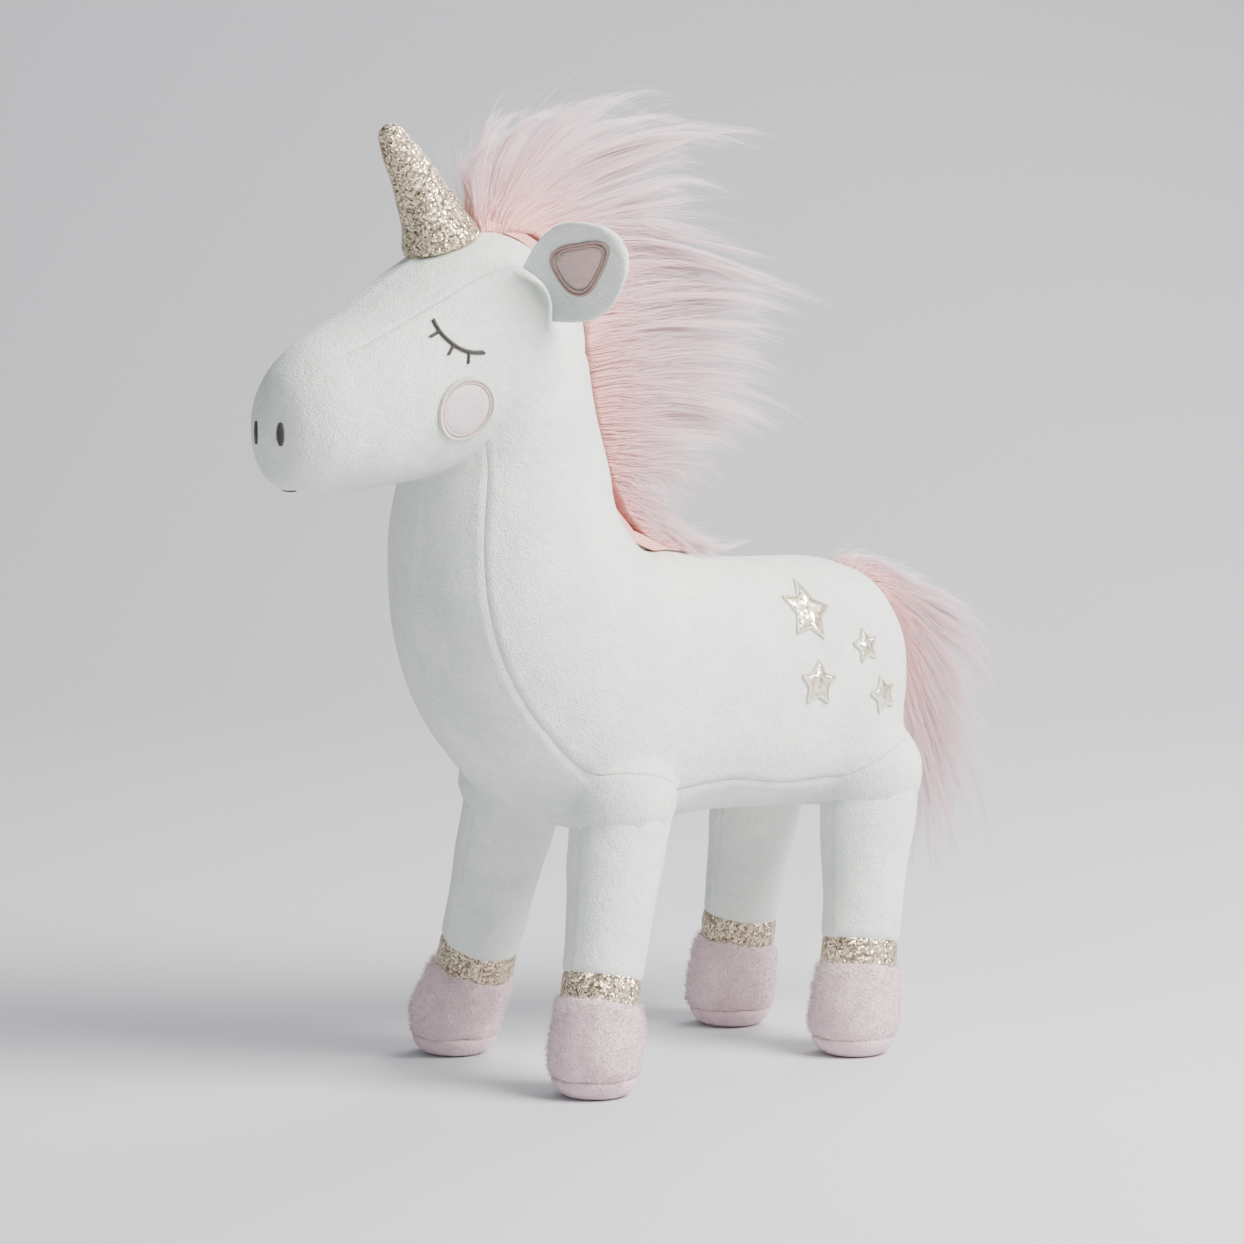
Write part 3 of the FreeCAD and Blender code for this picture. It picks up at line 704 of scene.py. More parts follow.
# below the hip, in millimetres: where the cloth begins to give, and over how far
THIGH_FIRM, THIGH_EASE = 16.0, 25.0
for seed, leg in enumerate(LEGS):
    points, faces = turned_form(leg, leg_profile, LEG_COLUMNS)
    cover = mesh_object("leg_" + leg + "_plush", points, faces)
    face_out(cover)
    rows = len(leg_profile)
    front_seam = [i * LEG_COLUMNS for i in range(rows)]
    back_seam = [i * LEG_COLUMNS + LEG_COLUMNS // 2 for i in range(rows)]
    below_hip = HIP_Z - coordinates(cover)[:, 2] / MM
    fill_with_fibre(cover, front_seam + back_seam + list(range(LEG_COLUMNS)), *LEG_FILL,
                    np.clip((below_hip - THIGH_FIRM) / THIGH_EASE, 0, 1))
    sewn = [coordinates(cover)[front_seam], coordinates(cover)[back_seam]]
    finer(cover, 2)
    uneven(cover, 18 * MM, 0.6 * MM, 20.0 + seed)
    sink_seams(cover, sewn, 0.8 * MM, 1.2 * MM)
    dress(cover, cream_plush)
    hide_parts("leg_" + leg + "_cover", "leg_" + leg + "_stuffing")
    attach(cover, "leg_" + leg)


# ---------------------------------------------------------------------------
# Hooves: pink longer-pile plush, a round sole sewn into a short tube, stuffed.
# The pile stands proud of the cloth and fluffs over the cuff above.
# ---------------------------------------------------------------------------

HOOF_PROFILE = [(7.4, 16.2), (8.2, 17.5), (10.5, 18.6), (17, 19), (25, 18.5), (32, 17.5), (35.6, 16.7),
                (36.9, 15.9), (37.0, 14.2)]
SOLE_PROFILE = [(0, 9.5), (0.25, 11.8), (1.6, 14.4), (4, 16.6), (6.4, 17.7), (7.6, 17.6), (8.3, 16.4)]
# each hoof cloth's second, darker pink is painted shade between its fibres
hoof_plush = plush("hoof_plush", (0.90, 0.67, 0.70, 1), (0.66, 0.44, 0.48, 1), 1100.0, 0.9, 0.0009, 0.5)
hoof_pile = plush("hoof_pile", (0.94, 0.79, 0.82, 1), (0.80, 0.59, 0.63, 1), 900.0, 0.5, 0.0002, 0.6)
HOOF_COLUMNS = 32
FUZZ_COUNT, FUZZ_LONG, FUZZ_THIN, FUZZ_BEND = 4600, 2.3 * MM, 0.10 * MM, 0.5
# above this height the pile is longer and fluffs over the cuff
FLUFF_Z, FLUFF_LONGER = 33 * MM, 1.3
SOLE_SEAM_Z = 8 * MM


def fibres(name, roots, ways, lengths, thickness, rng):
    """Short pile fibres: bent three-sided spikes standing on the cloth."""
    n = len(roots)
    side = np.cross(ways, rng.normal(size=(n, 3)))
    side /= np.linalg.norm(side, axis=1)[:, None]
    other = np.cross(ways, side)
    points = np.zeros((n, 7, 3))
    for ring, (along, wide) in enumerate(((0.0, 1.0), (0.55, 0.75))):
        middle = (roots + ways * (lengths * along)[:, None]
                  + side * (lengths * FUZZ_BEND * along ** 2)[:, None])
        for k in range(3):
            a = 2 * math.pi * k / 3
            points[:, ring * 3 + k] = middle + (side * math.cos(a) + other * math.sin(a)) * thickness * wide
    points[:, 6] = roots + ways * lengths[:, None] * 0.95 + side * (lengths * FUZZ_BEND)[:, None]
    shape = [(0, 2, 1), (0, 1, 4, 3), (1, 2, 5, 4), (2, 0, 3, 5), (3, 4, 6), (4, 5, 6), (5, 3, 6)]
    faces = [tuple(i * 7 + v for v in f) for i in range(n) for f in shape]
    return mesh_object(name, points.reshape(-1, 3), faces)


def scatter(obj, count, rng, lowest):
    """Random places on a mesh above a height, evenly by area, with the surface direction there."""
    mesh = obj.data
    mesh.calc_loop_triangles()
    tri = np.zeros(len(mesh.loop_triangles) * 3, int)
    mesh.loop_triangles.foreach_get("vertices", tri)
    tri = tri.reshape(-1, 3)
    co, normal = coordinates(obj), outward(obj)
    size = np.linalg.norm(np.cross(co[tri[:, 1]] - co[tri[:, 0]], co[tri[:, 2]] - co[tri[:, 0]]), axis=1)
    pick = rng.choice(len(tri), count, p=size / size.sum())
    a, b = rng.random(count), rng.random(count)
    over = a + b > 1
    a[over], b[over] = 1 - a[over], 1 - b[over]
    mix = np.stack([1 - a - b, a, b], 1)[:, :, None]
    spots = (co[tri[pick]] * mix).sum(1)
    ways = (normal[tri[pick]] * mix).sum(1)
    good = spots[:, 2] > lowest
    return spots[good], ways[good] / np.linalg.norm(ways[good], axis=1)[:, None]


for seed, leg in enumerate(LEGS):
    body_name = "leg_" + leg
    points, faces = turned_form(leg, HOOF_PROFILE, HOOF_COLUMNS)
    wall = mesh_object(body_name + "_hoof_plush", points, faces)
    face_out(wall)
    finer(wall, 1)
    uneven(wall, 9 * MM, 0.9 * MM, 30.0 + seed)
    points, faces = turned_form(leg, SOLE_PROFILE, HOOF_COLUMNS)
    sole = mesh_object(body_name + "_sole_plush", points, faces)
    face_out(sole)
    finer(sole, 1)
    rng = np.random.default_rng(100 + seed)
    spots, ways = scatter(wall, FUZZ_COUNT, rng, SOLE_SEAM_Z)
    lean = ways + rng.normal(scale=0.35, size=ways.shape) + np.array([0, 0, 0.35])
    lean /= np.linalg.norm(lean, axis=1)[:, None]
    top = spots[:, 2] > FLUFF_Z
    long = FUZZ_LONG * rng.uniform(0.5, 1.0, len(spots)) * np.where(top, FLUFF_LONGER, 1.0)
    fuzz = fibres(body_name + "_hoof_pile", spots, lean, long, FUZZ_THIN, rng)
    dress(fuzz, hoof_pile)
    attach(fuzz, body_name)
    for piece, node in ((wall, "_hoof_wall"), (sole, "_hoof_sole")):
        dress(piece, hoof_plush)
        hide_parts(body_name + node)
        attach(piece, body_name)


# ---------------------------------------------------------------------------
# Cuffs: a folded band of champagne glitter cloth round each ankle, its cut edges
# turned under and caught in the seam of the hoof.
# ---------------------------------------------------------------------------

# glitter cloth: each flake takes a random colour between the bright and the dark one besides its tilted
# normal: painted glints on the bright flakes and painted shade on the dark ones
glitter, glitter_in, glitter_out = node_group(
    "glitter_cloth",
    [("Place", "NodeSocketVector", None), ("Surface", "NodeSocketVector", None),
     ("Bright", "NodeSocketColor", (1, 0.9, 0.7, 1)), ("Painted flake shade", "NodeSocketColor", (0.3, 0.2, 0.1, 1)),
     ("Flake scale", "NodeSocketFloat", 1300.0), ("Tilt", "NodeSocketFloat", 0.9)],
    [("Colour", "NodeSocketColor"), ("Roughness", "NodeSocketFloat"), ("Normal", "NodeSocketVector")])
flakes = glitter.nodes.new("ShaderNodeTexVoronoi")
glitter.links.new(glitter_in.outputs["Place"], flakes.inputs["Vector"])
glitter.links.new(glitter_in.outputs["Flake scale"], flakes.inputs["Scale"])
split = glitter.nodes.new("ShaderNodeSeparateColor")
glitter.links.new(flakes.outputs["Color"], split.inputs["Color"])
glitter.links.new(
    mixed(glitter, split.outputs["Red"], glitter_in.outputs["Painted flake shade"], glitter_in.outputs["Bright"]),
    glitter_out.inputs["Colour"])
glitter.links.new(remap(glitter, split.outputs["Green"], 0.0, 1.0, 0.18, 0.55),
                  glitter_out.inputs["Roughness"])


def glitter_vector(kind, first, second=None, socket=1):
    """A vector operation in the glitter cloth."""
    node = glitter.nodes.new("ShaderNodeVectorMath")
    node.operation = kind
    glitter.links.new(first, node.inputs[0])
    if second is not None:
        glitter.links.new(second, node.inputs[socket])
    return node


centred = glitter_vector("SUBTRACT", flakes.outputs["Color"])
centred.inputs[1].default_value = (0.5, 0.5, 0.5)
tilted = glitter_vector("SCALE", centred.outputs["Vector"], glitter_in.outputs["Tilt"], "Scale")
facing = glitter_vector("ADD", tilted.outputs["Vector"], glitter_in.outputs["Surface"])
unit = glitter_vector("NORMALIZE", facing.outputs["Vector"])
glitter.links.new(unit.outputs["Vector"], glitter_out.inputs["Normal"])


def glitter_material(name, glint_colour, painted_dark, scale, tilt, metallic):
    """Cloth covered in tilted mirror flakes, their colours painted glints and painted shade."""
    material, tree, shader, place = blank_material(name)
    group = use_group(tree, glitter, {"Bright": glint_colour, "Painted flake shade": painted_dark, "Flake scale": scale, "Tilt": tilt})
    tree.links.new(place, group.inputs["Place"])
    tree.links.new(tree.nodes.new("ShaderNodeNewGeometry").outputs["Normal"], group.inputs["Surface"])
    for label, socket in (("Colour", "Base Color"), ("Roughness", "Roughness"), ("Normal", "Normal")):
        tree.links.new(group.outputs[label], shader.inputs[socket])
    shader.inputs["Metallic"].default_value = metallic
    return material


# champagne glitter: the bright and dark flake colours are painted glints and painted shade
gold_glitter = glitter_material(
    "gold_glitter", (0.95, 0.79, 0.59, 1), (0.24, 0.165, 0.10, 1), 1350.0, 1.2, 0.8)
CUFF_PROFILE = [(34.6, 14.0), (34.8, 15.4), (37, 15.8), (40, 15.9), (43, 15.9), (46, 15.7), (47.4, 15.2),
                (47.6, 13.6)]
CUFF_COLUMNS = 48
for leg in LEGS:
    points, faces = turned_form(leg, CUFF_PROFILE, CUFF_COLUMNS)
    cuff = mesh_object("leg_" + leg + "_glitter_cuff", points, faces)
    face_out(cuff)
    finer(cuff, 1)
    uneven(cuff, 7 * MM, 0.35 * MM, 5.0)
    dress(cuff, gold_glitter)
    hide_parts("leg_" + leg + "_cuff")
    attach(cuff, "leg_" + leg)


# ---------------------------------------------------------------------------
# Horn: a cone of the same glitter cloth with one seam down its back, stuffed, a
# little bent, its wide foot sewn to the brow.
# ---------------------------------------------------------------------------

HORN_FOOT = np.array([0.0, -113.5, 338.5])
HORN_LONG = 48.5
HORN_LEAN, HORN_SEAT_LEAN = math.radians(31.0), math.radians(20.0)
# share of the length, radius
HORN_RINGS = [(-0.10, 15.6), (0, 15), (0.12, 13.2), (0.35, 11), (0.6, 8.7), (0.82, 6.6), (0.94, 5.2),
              (1, 3.2), (1.02, 1.2)]
HORN_BEND = 1.6
HORN_COLUMNS = 40
horn_way = np.array([0.0, -math.sin(HORN_LEAN), math.cos(HORN_LEAN)])
horn_seat = np.array([0.0, -math.sin(HORN_SEAT_LEAN), math.cos(HORN_SEAT_LEAN)])
points = []
horn_rings = [tuple(r[[0, 3]]) for r in spline([(k * HORN_LONG, 0, 0, r) for k, r in HORN_RINGS], step=1.6)]
for reach, radius in horn_rings:
    share = reach / HORN_LONG
    blend_in = min(max(share, 0.0) / 0.25, 1.0)
    way = horn_seat * (1 - blend_in) + horn_way * blend_in
    way /= np.linalg.norm(way)
    across = np.array([1.0, 0.0, 0.0])
    fore = np.cross(across, way)
    middle = HORN_FOOT + horn_way * reach + np.array([0, HORN_BEND * math.sin(math.pi * max(share, 0)), 0])
    for k in range(HORN_COLUMNS):
        a = 2 * math.pi * k / HORN_COLUMNS
        points.append(middle + (across * math.cos(a) + fore * math.sin(a)) * radius)
faces = wall_faces(len(horn_rings), HORN_COLUMNS)
last = (len(horn_rings) - 1) * HORN_COLUMNS
faces.append(tuple(range(HORN_COLUMNS))[::-1])
faces.append(tuple(last + k for k in range(HORN_COLUMNS)))
horn = mesh_object("horn_glitter", np.array(points) * MM, faces)
face_out(horn)
horn_back = [i * HORN_COLUMNS + HORN_COLUMNS // 4 for i in range(len(horn_rings))]
sewn = [coordinates(horn)[horn_back]]
finer(horn, 1)
uneven(horn, 10 * MM, 0.5 * MM, 6.0)
sink_seams(horn, sewn, 0.6 * MM, 1.0 * MM)
dress(horn, gold_glitter)
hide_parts("horn_cover", "horn_stuffing")
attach(horn, "horn")


# ---------------------------------------------------------------------------
# Ears: two layers of cream plush turned right side out, folded at the root and
# sewn to the head seam. The front carries a dusty pink patch, stitched round twice.
# ---------------------------------------------------------------------------

EAR_ROOT = np.array([38.5, -88.5, 318.5])
EAR_LONG = 44.0
ear_along = np.array([42.5, 4.5, 18.6])
ear_along /= np.linalg.norm(ear_along)
ear_base = np.array([-0.347833, -0.334736, 0.875765])
ear_front = np.cross(ear_base, ear_along)
ear_front *= math.copysign(1.0, -ear_front[1])
# share of the length, half width
EAR_OUTLINE = [(0.0, 12.0), (0.14, 16), (0.36, 19.2), (0.6, 17.6), (0.82, 12), (0.95, 5.8), (1.0, 1.5)]
EAR_THICK = 2.5
# how deep the ear is cupped, and how far its root folds forward
EAR_CUP, EAR_FOLD, EAR_FOLD_SHARE = 2.6, 7.0, 0.42


def ear_half_width(t):
    """Half the ear's width at a share of its length."""
    knots = np.array(EAR_OUTLINE)
    return np.interp(t, *spline([(a * 40, 0, 0, b) for a, b in knots], count=60)[:, [0, 3]].T / [[40], [1]])


EAR_SWEEP = math.radians(22.0)
EAR_SWEEP_LIFT = np.array([-0.9, 0.0, 0.45])


def ear_placed(points, right):
    """The right ear is the left one mirrored, turned back about its sewn edge and set off the head."""
    points = np.array(points)
    if not right:
        return points * MM
    flip = np.array([-1.0, 1.0, 1.0])
    axis = Vector(ear_base * flip)
    root = EAR_ROOT * flip
    turn = np.array(Quaternion(axis, -EAR_SWEEP).to_matrix())
    return ((points * flip - root) @ turn.T + root + EAR_SWEEP_LIFT) * MM


def ear_point(t, v, lift):
    """Place on the ear: t along it, v across it from -1 to 1, lift off its middle layer."""
    half = ear_half_width(t)
    cup = EAR_CUP * (v * v - 0.35) * math.sin(math.pi * min(t * 0.9 + 0.15, 1.0))
    fold = EAR_FOLD * (max(0.0, EAR_FOLD_SHARE - t) / EAR_FOLD_SHARE) ** 1.5 * v * v
    return (EAR_ROOT + ear_along * EAR_LONG * t + ear_base * half * v
            + ear_front * (lift + cup + fold))


def ear_layer(name, sign, mirror):
    """One plush layer as a closed puffed leaf; its edge rolls into the sewn rim."""
    rows, columns = 26, 24
    points = []
    for i in range(rows + 1):
        t = i / rows
        for k in range(columns + 1):
            v = -math.cos(math.pi * k / columns)
            puff = math.sqrt(max(0.0, 1 - v * v)) ** 0.7 * min(1.0, (1 - t) / 0.08) ** 0.5
            points.append(ear_point(t, v, sign * EAR_THICK * puff))
    for i in range(rows + 1):
        t = i / rows
        for k in range(columns + 1):
            v = -math.cos(math.pi * k / columns)
            points.append(ear_point(t, v, -sign * 0.05))
    size, w = (rows + 1) * (columns + 1), columns + 1
    faces = []
    for i in range(rows):
        for k in range(columns):
            q = (i * w + k, i * w + k + 1, (i + 1) * w + k + 1, (i + 1) * w + k)
            faces += [q, tuple(v + size for v in q[::-1])]
    rim = (list(range(w)) + [i * w + columns for i in range(1, rows + 1)]
           + [rows * w + k for k in range(columns - 1, -1, -1)] + [i * w for i in range(rows - 1, 0, -1)])
    for a, b in zip(rim, rim[1:] + rim[:1]):
        faces.append((b, a, a + size, b + size))
    return mesh_object(name, ear_placed(points, mirror), faces)


THREAD_SIDES, THREAD_BENDS, THREAD_SPACING = 5, 6, 1.75
# the velour's second, darker pink is painted shade between its fibres
ear_patch_plush = plush("ear_velour", (0.70, 0.50, 0.48, 1), (0.48, 0.31, 0.30, 1), 1800.0, 0.9, 0.0003, 0.4)


def satin_threads(name, centres, across, up, half, thread, rise):
    """Satin stitches: a row of threads side by side, each arching over from edge to edge."""
    sides, bends = THREAD_SIDES, THREAD_BENDS
    n = len(centres)
    points = np.zeros((n, bends + 1, sides, 3))
    along = np.cross(across, up)
    for j in range(bends + 1):
        s = -1 + 2 * j / bends
        lift = rise * math.sqrt(max(0.0, 1 - s * s)) - thread * 0.4
        middle = centres + across * (half * s) + up * lift
        way_up = up * math.sqrt(max(0.02, 1 - s * s)) + across * s
        way_up /= np.linalg.norm(way_up, axis=1)[:, None]
        for k in range(sides):
            a = 2 * math.pi * k / sides
            points[:, j, k] = middle + (way_up * math.cos(a) + along * math.sin(a)) * thread
    faces = []
    for i in range(n):
        base = i * (bends + 1) * sides
        for j in range(bends):
            for k in range(sides):
                m = (k + 1) % sides
                faces.append((base + j * sides + k, base + j * sides + m,
                              base + (j + 1) * sides + m, base + (j + 1) * sides + k))
        faces.append(tuple(base + k for k in range(sides))[::-1])
        faces.append(tuple(base + bends * sides + k for k in range(sides)))
    obj = mesh_object(name, points.reshape(-1, 3), faces)
    face_out(obj)
    return obj


def even_line(points, spacing, closed):
    """Points at an even spacing along a line, with the line's direction at each."""
    p = np.array(points, float)
    if closed:
        p = np.vstack([p, p[:1]])
    run = np.r_[0, np.cumsum(np.linalg.norm(np.diff(p, axis=0), axis=1))]
    count = max(2, int(run[-1] / spacing))
    at = (np.arange(count) + 0.5) * run[-1] / count
    spots = np.stack([np.interp(at, run, p[:, k]) for k in range(3)], 1)
    ahead = np.stack([np.interp(at + spacing, run, p[:, k]) for k in range(3)], 1)
    behind = np.stack([np.interp(at - spacing, run, p[:, k]) for k in range(3)], 1)
    way = ahead - behind
    return spots, way / np.maximum(np.linalg.norm(way, axis=1), 1e-9)[:, None]


def joined(name, pieces):
    """Several meshes as one piece."""
    points, faces, start = [], [], 0
    for piece in pieces:
        co = coordinates(piece)
        points.append(co)
        faces += [tuple(v + start for v in p.vertices) for p in piece.data.polygons]
        start += len(co)
        bpy.data.objects.remove(piece)
    return mesh_object(name, np.vstack(points), faces)


def thread_material(name, colour, painted_dark, sheen):
    """Rayon embroidery thread: glossy, with a fine twist whose grooves are painted shade in a darker colour.
    """
    material, tree, shader, place = blank_material(name)
    grain = noise_node(tree, place, 2600.0, 2.0)
    twist_shade = remap(tree, grain, 0.35, 0.65, 0.0, 1.0)
    # painted shade: the thread's colour mixed towards its darker copy in fine blotches along the twist
    tree.links.new(mixed(tree, twist_shade, colour, painted_dark), shader.inputs["Base Color"])
    tree.links.new(remap(tree, grain, 0.3, 0.7, 0.30, 0.5), shader.inputs["Roughness"])
    bump(tree, shader, grain, 0.0001)
    shader.inputs["Sheen Weight"].default_value = sheen
    return material


dusty_thread = thread_material("ear_border_thread", (0.58, 0.38, 0.33, 1), (0.38, 0.23, 0.20, 1), 0.3)
# corners of the patch: millimetres along and across the ear
PATCH_LINE = [(10.5, 2.0), (12.2, 7.6), (17, 9.0), (25, 7.0), (32, 4.6), (34.5, 2.0), (31.5, -1.2),
              (25, -4.6), (17, -6.8), (12.2, -4.0)]
PATCH_POINTS = 72
PATCH_DOME = 0.75
# how far outside the patch each line of stitching runs; half width, thread and rise of a stitch
EAR_BORDERS = (0.9, 2.5)
EAR_STITCH = (0.5 * MM, 0.24 * MM, 0.6 * MM)
EAR_STITCH_STEP = 0.42 * MM


def ear_loop(grow):
    """The patch's outline, grown by some millimetres: pairs of length share and cross share."""
    count = PATCH_POINTS
    knots = np.array(PATCH_LINE)
    middle = knots.mean(0)
    knots = middle + (knots - middle) * (1 + grow / np.linalg.norm(knots - middle, axis=1).mean())
    ring = spline([(a, b, 0.0) for a, b in np.vstack([knots, knots, knots[:1]])], count=2 * count + 1)
    ring = ring[count // 2: count // 2 + count]
    return [(a / EAR_LONG, b / ear_half_width(a / EAR_LONG)) for a, b, _ in ring]


def disc_faces(rings, around):
    """Faces of a closed lens: a top of nested rings, an equal bottom below it, and the rim."""
    total = around * (rings + 1)
    faces = []
    for q in wall_faces(rings + 1, around):
        faces += [q, tuple(v + total for v in q[::-1])]
    for k in range(around):
        m = (k + 1) % around
        faces.append((rings * around + k, rings * around + m, rings * around + m + total,
                      rings * around + k + total))
    return faces


def ear_surface(t, v, above):
    """Place on the front of the ear, some millimetres above the plush."""
    puff = math.sqrt(max(0.0, 1 - v * v)) ** 0.7
    return ear_point(t, v, EAR_THICK * puff + above)


for side, sign in (("left", 1.0), ("right", -1.0)):
    body_name = "ear_" + side
    back = ear_layer(body_name + "_back_plush", -1.0, sign < 0)
    front = ear_layer(body_name + "_front_plush", 1.0, sign < 0)
    loop = ear_loop(0.0)
    centre_t, centre_v = np.mean(loop, axis=0)
    top, low, rings = [], [], 7
    for r in range(rings + 1):
        share = r / rings
        for t, v in loop:
            at = centre_t + (t - centre_t) * share
            over = centre_v + (v - centre_v) * share
            dome = PATCH_DOME * math.sqrt(1 - share ** 4) + 0.1
            top.append(ear_surface(at, over, dome))
            low.append(ear_surface(at, over, -0.5))
    patch = mesh_object(
        body_name + "_inner_patch", ear_placed(top + low, sign < 0), disc_faces(rings, len(loop)))
    borders = []
    for grow in EAR_BORDERS:
        line = [ear_surface(t, v, 0.15) for t, v in ear_loop(grow)]
        raised = [ear_surface(t, v, 1.15) for t, v in ear_loop(grow)]
        line = ear_placed(line, sign < 0)
        facing_out = (ear_placed(raised, sign < 0) - line).mean(0)
        spots, way = even_line(line, EAR_STITCH_STEP, True)
        up = np.repeat((facing_out / np.linalg.norm(facing_out))[None], len(spots), 0)
        borders.append(satin_threads("border", spots, np.cross(way, up), up, *EAR_STITCH))
    border = joined(body_name + "_patch_border", borders)
    hinge, tip = ear_placed([EAR_ROOT, EAR_ROOT + ear_along * EAR_LONG], sign < 0)
    hinge = Vector(hinge)
    for piece, material, slot, node in (
            (back, cream_plush, "cream_plush", "_back"), (front, cream_plush, "cream_plush", "_front"),
            (patch, ear_patch_plush, "ear_velour", "_patch"),
            (border, dusty_thread, "border_thread", "_stitching")):
        face_out(piece)
        dress(piece, material)
        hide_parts(body_name + node)
        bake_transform(piece)


# ---------------------------------------------------------------------------
# Face: closed eyes with three lashes, nostrils and mouth in charcoal satin stitch;
# a round pale pink cheek patch with a cream and pink satin-stitched rim.
# ---------------------------------------------------------------------------

charcoal_thread = thread_material("charcoal_thread", (0.075, 0.06, 0.055, 1), (0.03, 0.025, 0.022, 1), 0.2)
cream_thread = thread_material("cream_thread", (0.84, 0.80, 0.70, 1), (0.60, 0.55, 0.46, 1), 0.4)
rim_thread = thread_material("rim_thread", (0.80, 0.64, 0.62, 1), (0.58, 0.42, 0.40, 1), 0.4)
# the cheek velour's second, darker pink is painted shade between its fibres
cheek_plush = plush("cheek_velour", (0.86, 0.70, 0.72, 1), (0.66, 0.50, 0.53, 1), 1500.0, 0.6, 0.0003, 0.5)


def on_skin(shape, points, way):
    """Drops points onto the plush along a direction; returns the places and the surface directions."""
    way = Vector(way)
    spots, ups = [], []
    for p in points:
        hit, up, _, _ = shape.ray_cast(Vector(p) - way * 0.3, way)
        if up.dot(way) > 0:
            up = -up
        spots.append(hit)
        ups.append(up)
    return np.array(spots), np.array(ups)


def stitched_line(name, shape, line, way, half, thread, rise, closed=False, lean=0.0):
    """Satin stitches along a line drawn on the plush."""
    spots, _ = on_skin(shape, line, way)
    spots, heading = even_line(spots, thread * THREAD_SPACING, closed)
    _, ups = on_skin(shape, spots, way)
    across = np.cross(heading, ups)
    across = across * math.cos(lean) + heading * math.sin(lean)
    across /= np.linalg.norm(across, axis=1)[:, None]
    return satin_threads(name, spots, across, ups, half, thread, rise)


EYE_ARC = [(-137.3, 307.2), (-136.4, 302.6), (-133.6, 298.6), (-129.2, 295.6), (-124.8, 294.6),
           (-120.8, 294.6)]
LASHES = (((-136.6, 302.8), (-140.6, 300.6)), ((-132.6, 297.6), (-135.2, 293.8)),
          ((-127.0, 295.0), (-127.6, 290.4)))
EYE_POINTS, LASH_STEPS, STITCH_LEAN = 24, 6, 0.5
CHEEK_Y, CHEEK_Z, CHEEK_RADIUS, CHEEK_POINTS = -127.0, 273.0, 10.5, 64
# the rim and the inner rim, as shares of the patch's radius
CHEEK_RIM, CHEEK_INNER_RIM = 1.09, 0.96
NOSTRIL_X, NOSTRIL_Z, NOSTRIL_HALF_HIGH, NOSTRIL_HALF_WIDE = 8.0, 264.5, 4.5, 1.9
SMILE_HALF, SMILE_Y, SMILE_BEND = 4.5, -185.3, 0.03
APPLIQUE_UNDER, APPLIQUE_EDGE = 0.4 * MM, 0.1 * MM
# half width, thread and rise of each kind of satin stitch
EYE_STITCH = (0.85 * MM, 0.27 * MM, 0.9 * MM)
LASH_STITCH = (0.68 * MM, 0.25 * MM, 0.7 * MM)
RIM_STITCH = (0.85 * MM, 0.26 * MM, 1.2 * MM)
INNER_RIM_STITCH = (0.5 * MM, 0.22 * MM, 0.9 * MM)
MOUTH_STITCH = (0.5 * MM, 0.22 * MM, 0.25 * MM)


def skin_disc(name, shape, outline, way, rise, rings=8):
    """Applique: a puffed patch lying on the plush, filling a closed outline."""
    outline = np.array(outline)
    middle = outline.mean(0)
    top, low = [], []
    for r in range(rings + 1):
        share = r / rings
        ring = middle + (outline - middle) * max(share, 0.001)
        spots, ups = on_skin(shape, ring, way)
        top.append(spots + ups * (rise * (1 - share ** 4) ** 0.5 + APPLIQUE_EDGE))
        low.append(spots - ups * APPLIQUE_UNDER)
    piece = mesh_object(name, np.vstack(top + low), disc_faces(rings, len(outline)))
    face_out(piece)
    return piece


for side, sign in (("left", 1.0), ("right", -1.0)):
    way = (-sign, 0.0, 0.0)
    arc = [(0.0, r[0] * MM, r[1] * MM) for r in spline([(y, z, 0) for y, z in EYE_ARC], count=EYE_POINTS)]
    parts = [stitched_line("arc", head_shape, arc, way, *EYE_STITCH, lean=STITCH_LEAN)]
    for (y, z), (end_y, end_z) in LASHES:
        line = [(0.0, (y + (end_y - y) * k / LASH_STEPS) * MM, (z + (end_z - z) * k / LASH_STEPS) * MM)
                for k in range(LASH_STEPS + 1)]
        parts.append(stitched_line("lash", head_shape, line, way, *LASH_STITCH, lean=STITCH_LEAN))
    eye = joined("eye_" + side + "_stitches", parts)
    dress(eye, charcoal_thread)
    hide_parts("eye_" + side)
    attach(eye, "head")

    circle = [(0.0, (CHEEK_Y + CHEEK_RADIUS * math.cos(a)) * MM, (CHEEK_Z + CHEEK_RADIUS * math.sin(a)) * MM)
              for a in np.linspace(0, 2 * math.pi, CHEEK_POINTS, endpoint=False)]
    patch = skin_disc("cheek_" + side + "_patch", head_shape, circle, way, 0.8 * MM)
    dress(patch, cheek_plush)
    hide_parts("cheek_patch_" + side)
    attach(patch, "head")
    centre = np.array([0.0, CHEEK_Y, CHEEK_Z]) * MM
    outer = [tuple(centre + (np.array(p) - centre) * CHEEK_RIM) for p in circle]
    inner = [tuple(centre + (np.array(p) - centre) * CHEEK_INNER_RIM) for p in circle]
    rim = stitched_line("cheek_" + side + "_rim", head_shape, outer, way, *RIM_STITCH, True)
    dress(rim, cream_thread)
    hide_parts("cheek_stitching_" + side)
    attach(rim, "head")
    edge = stitched_line("cheek_" + side + "_inner_rim", head_shape, inner, way, *INNER_RIM_STITCH, True)
    dress(edge, rim_thread)
    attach(edge, "head")

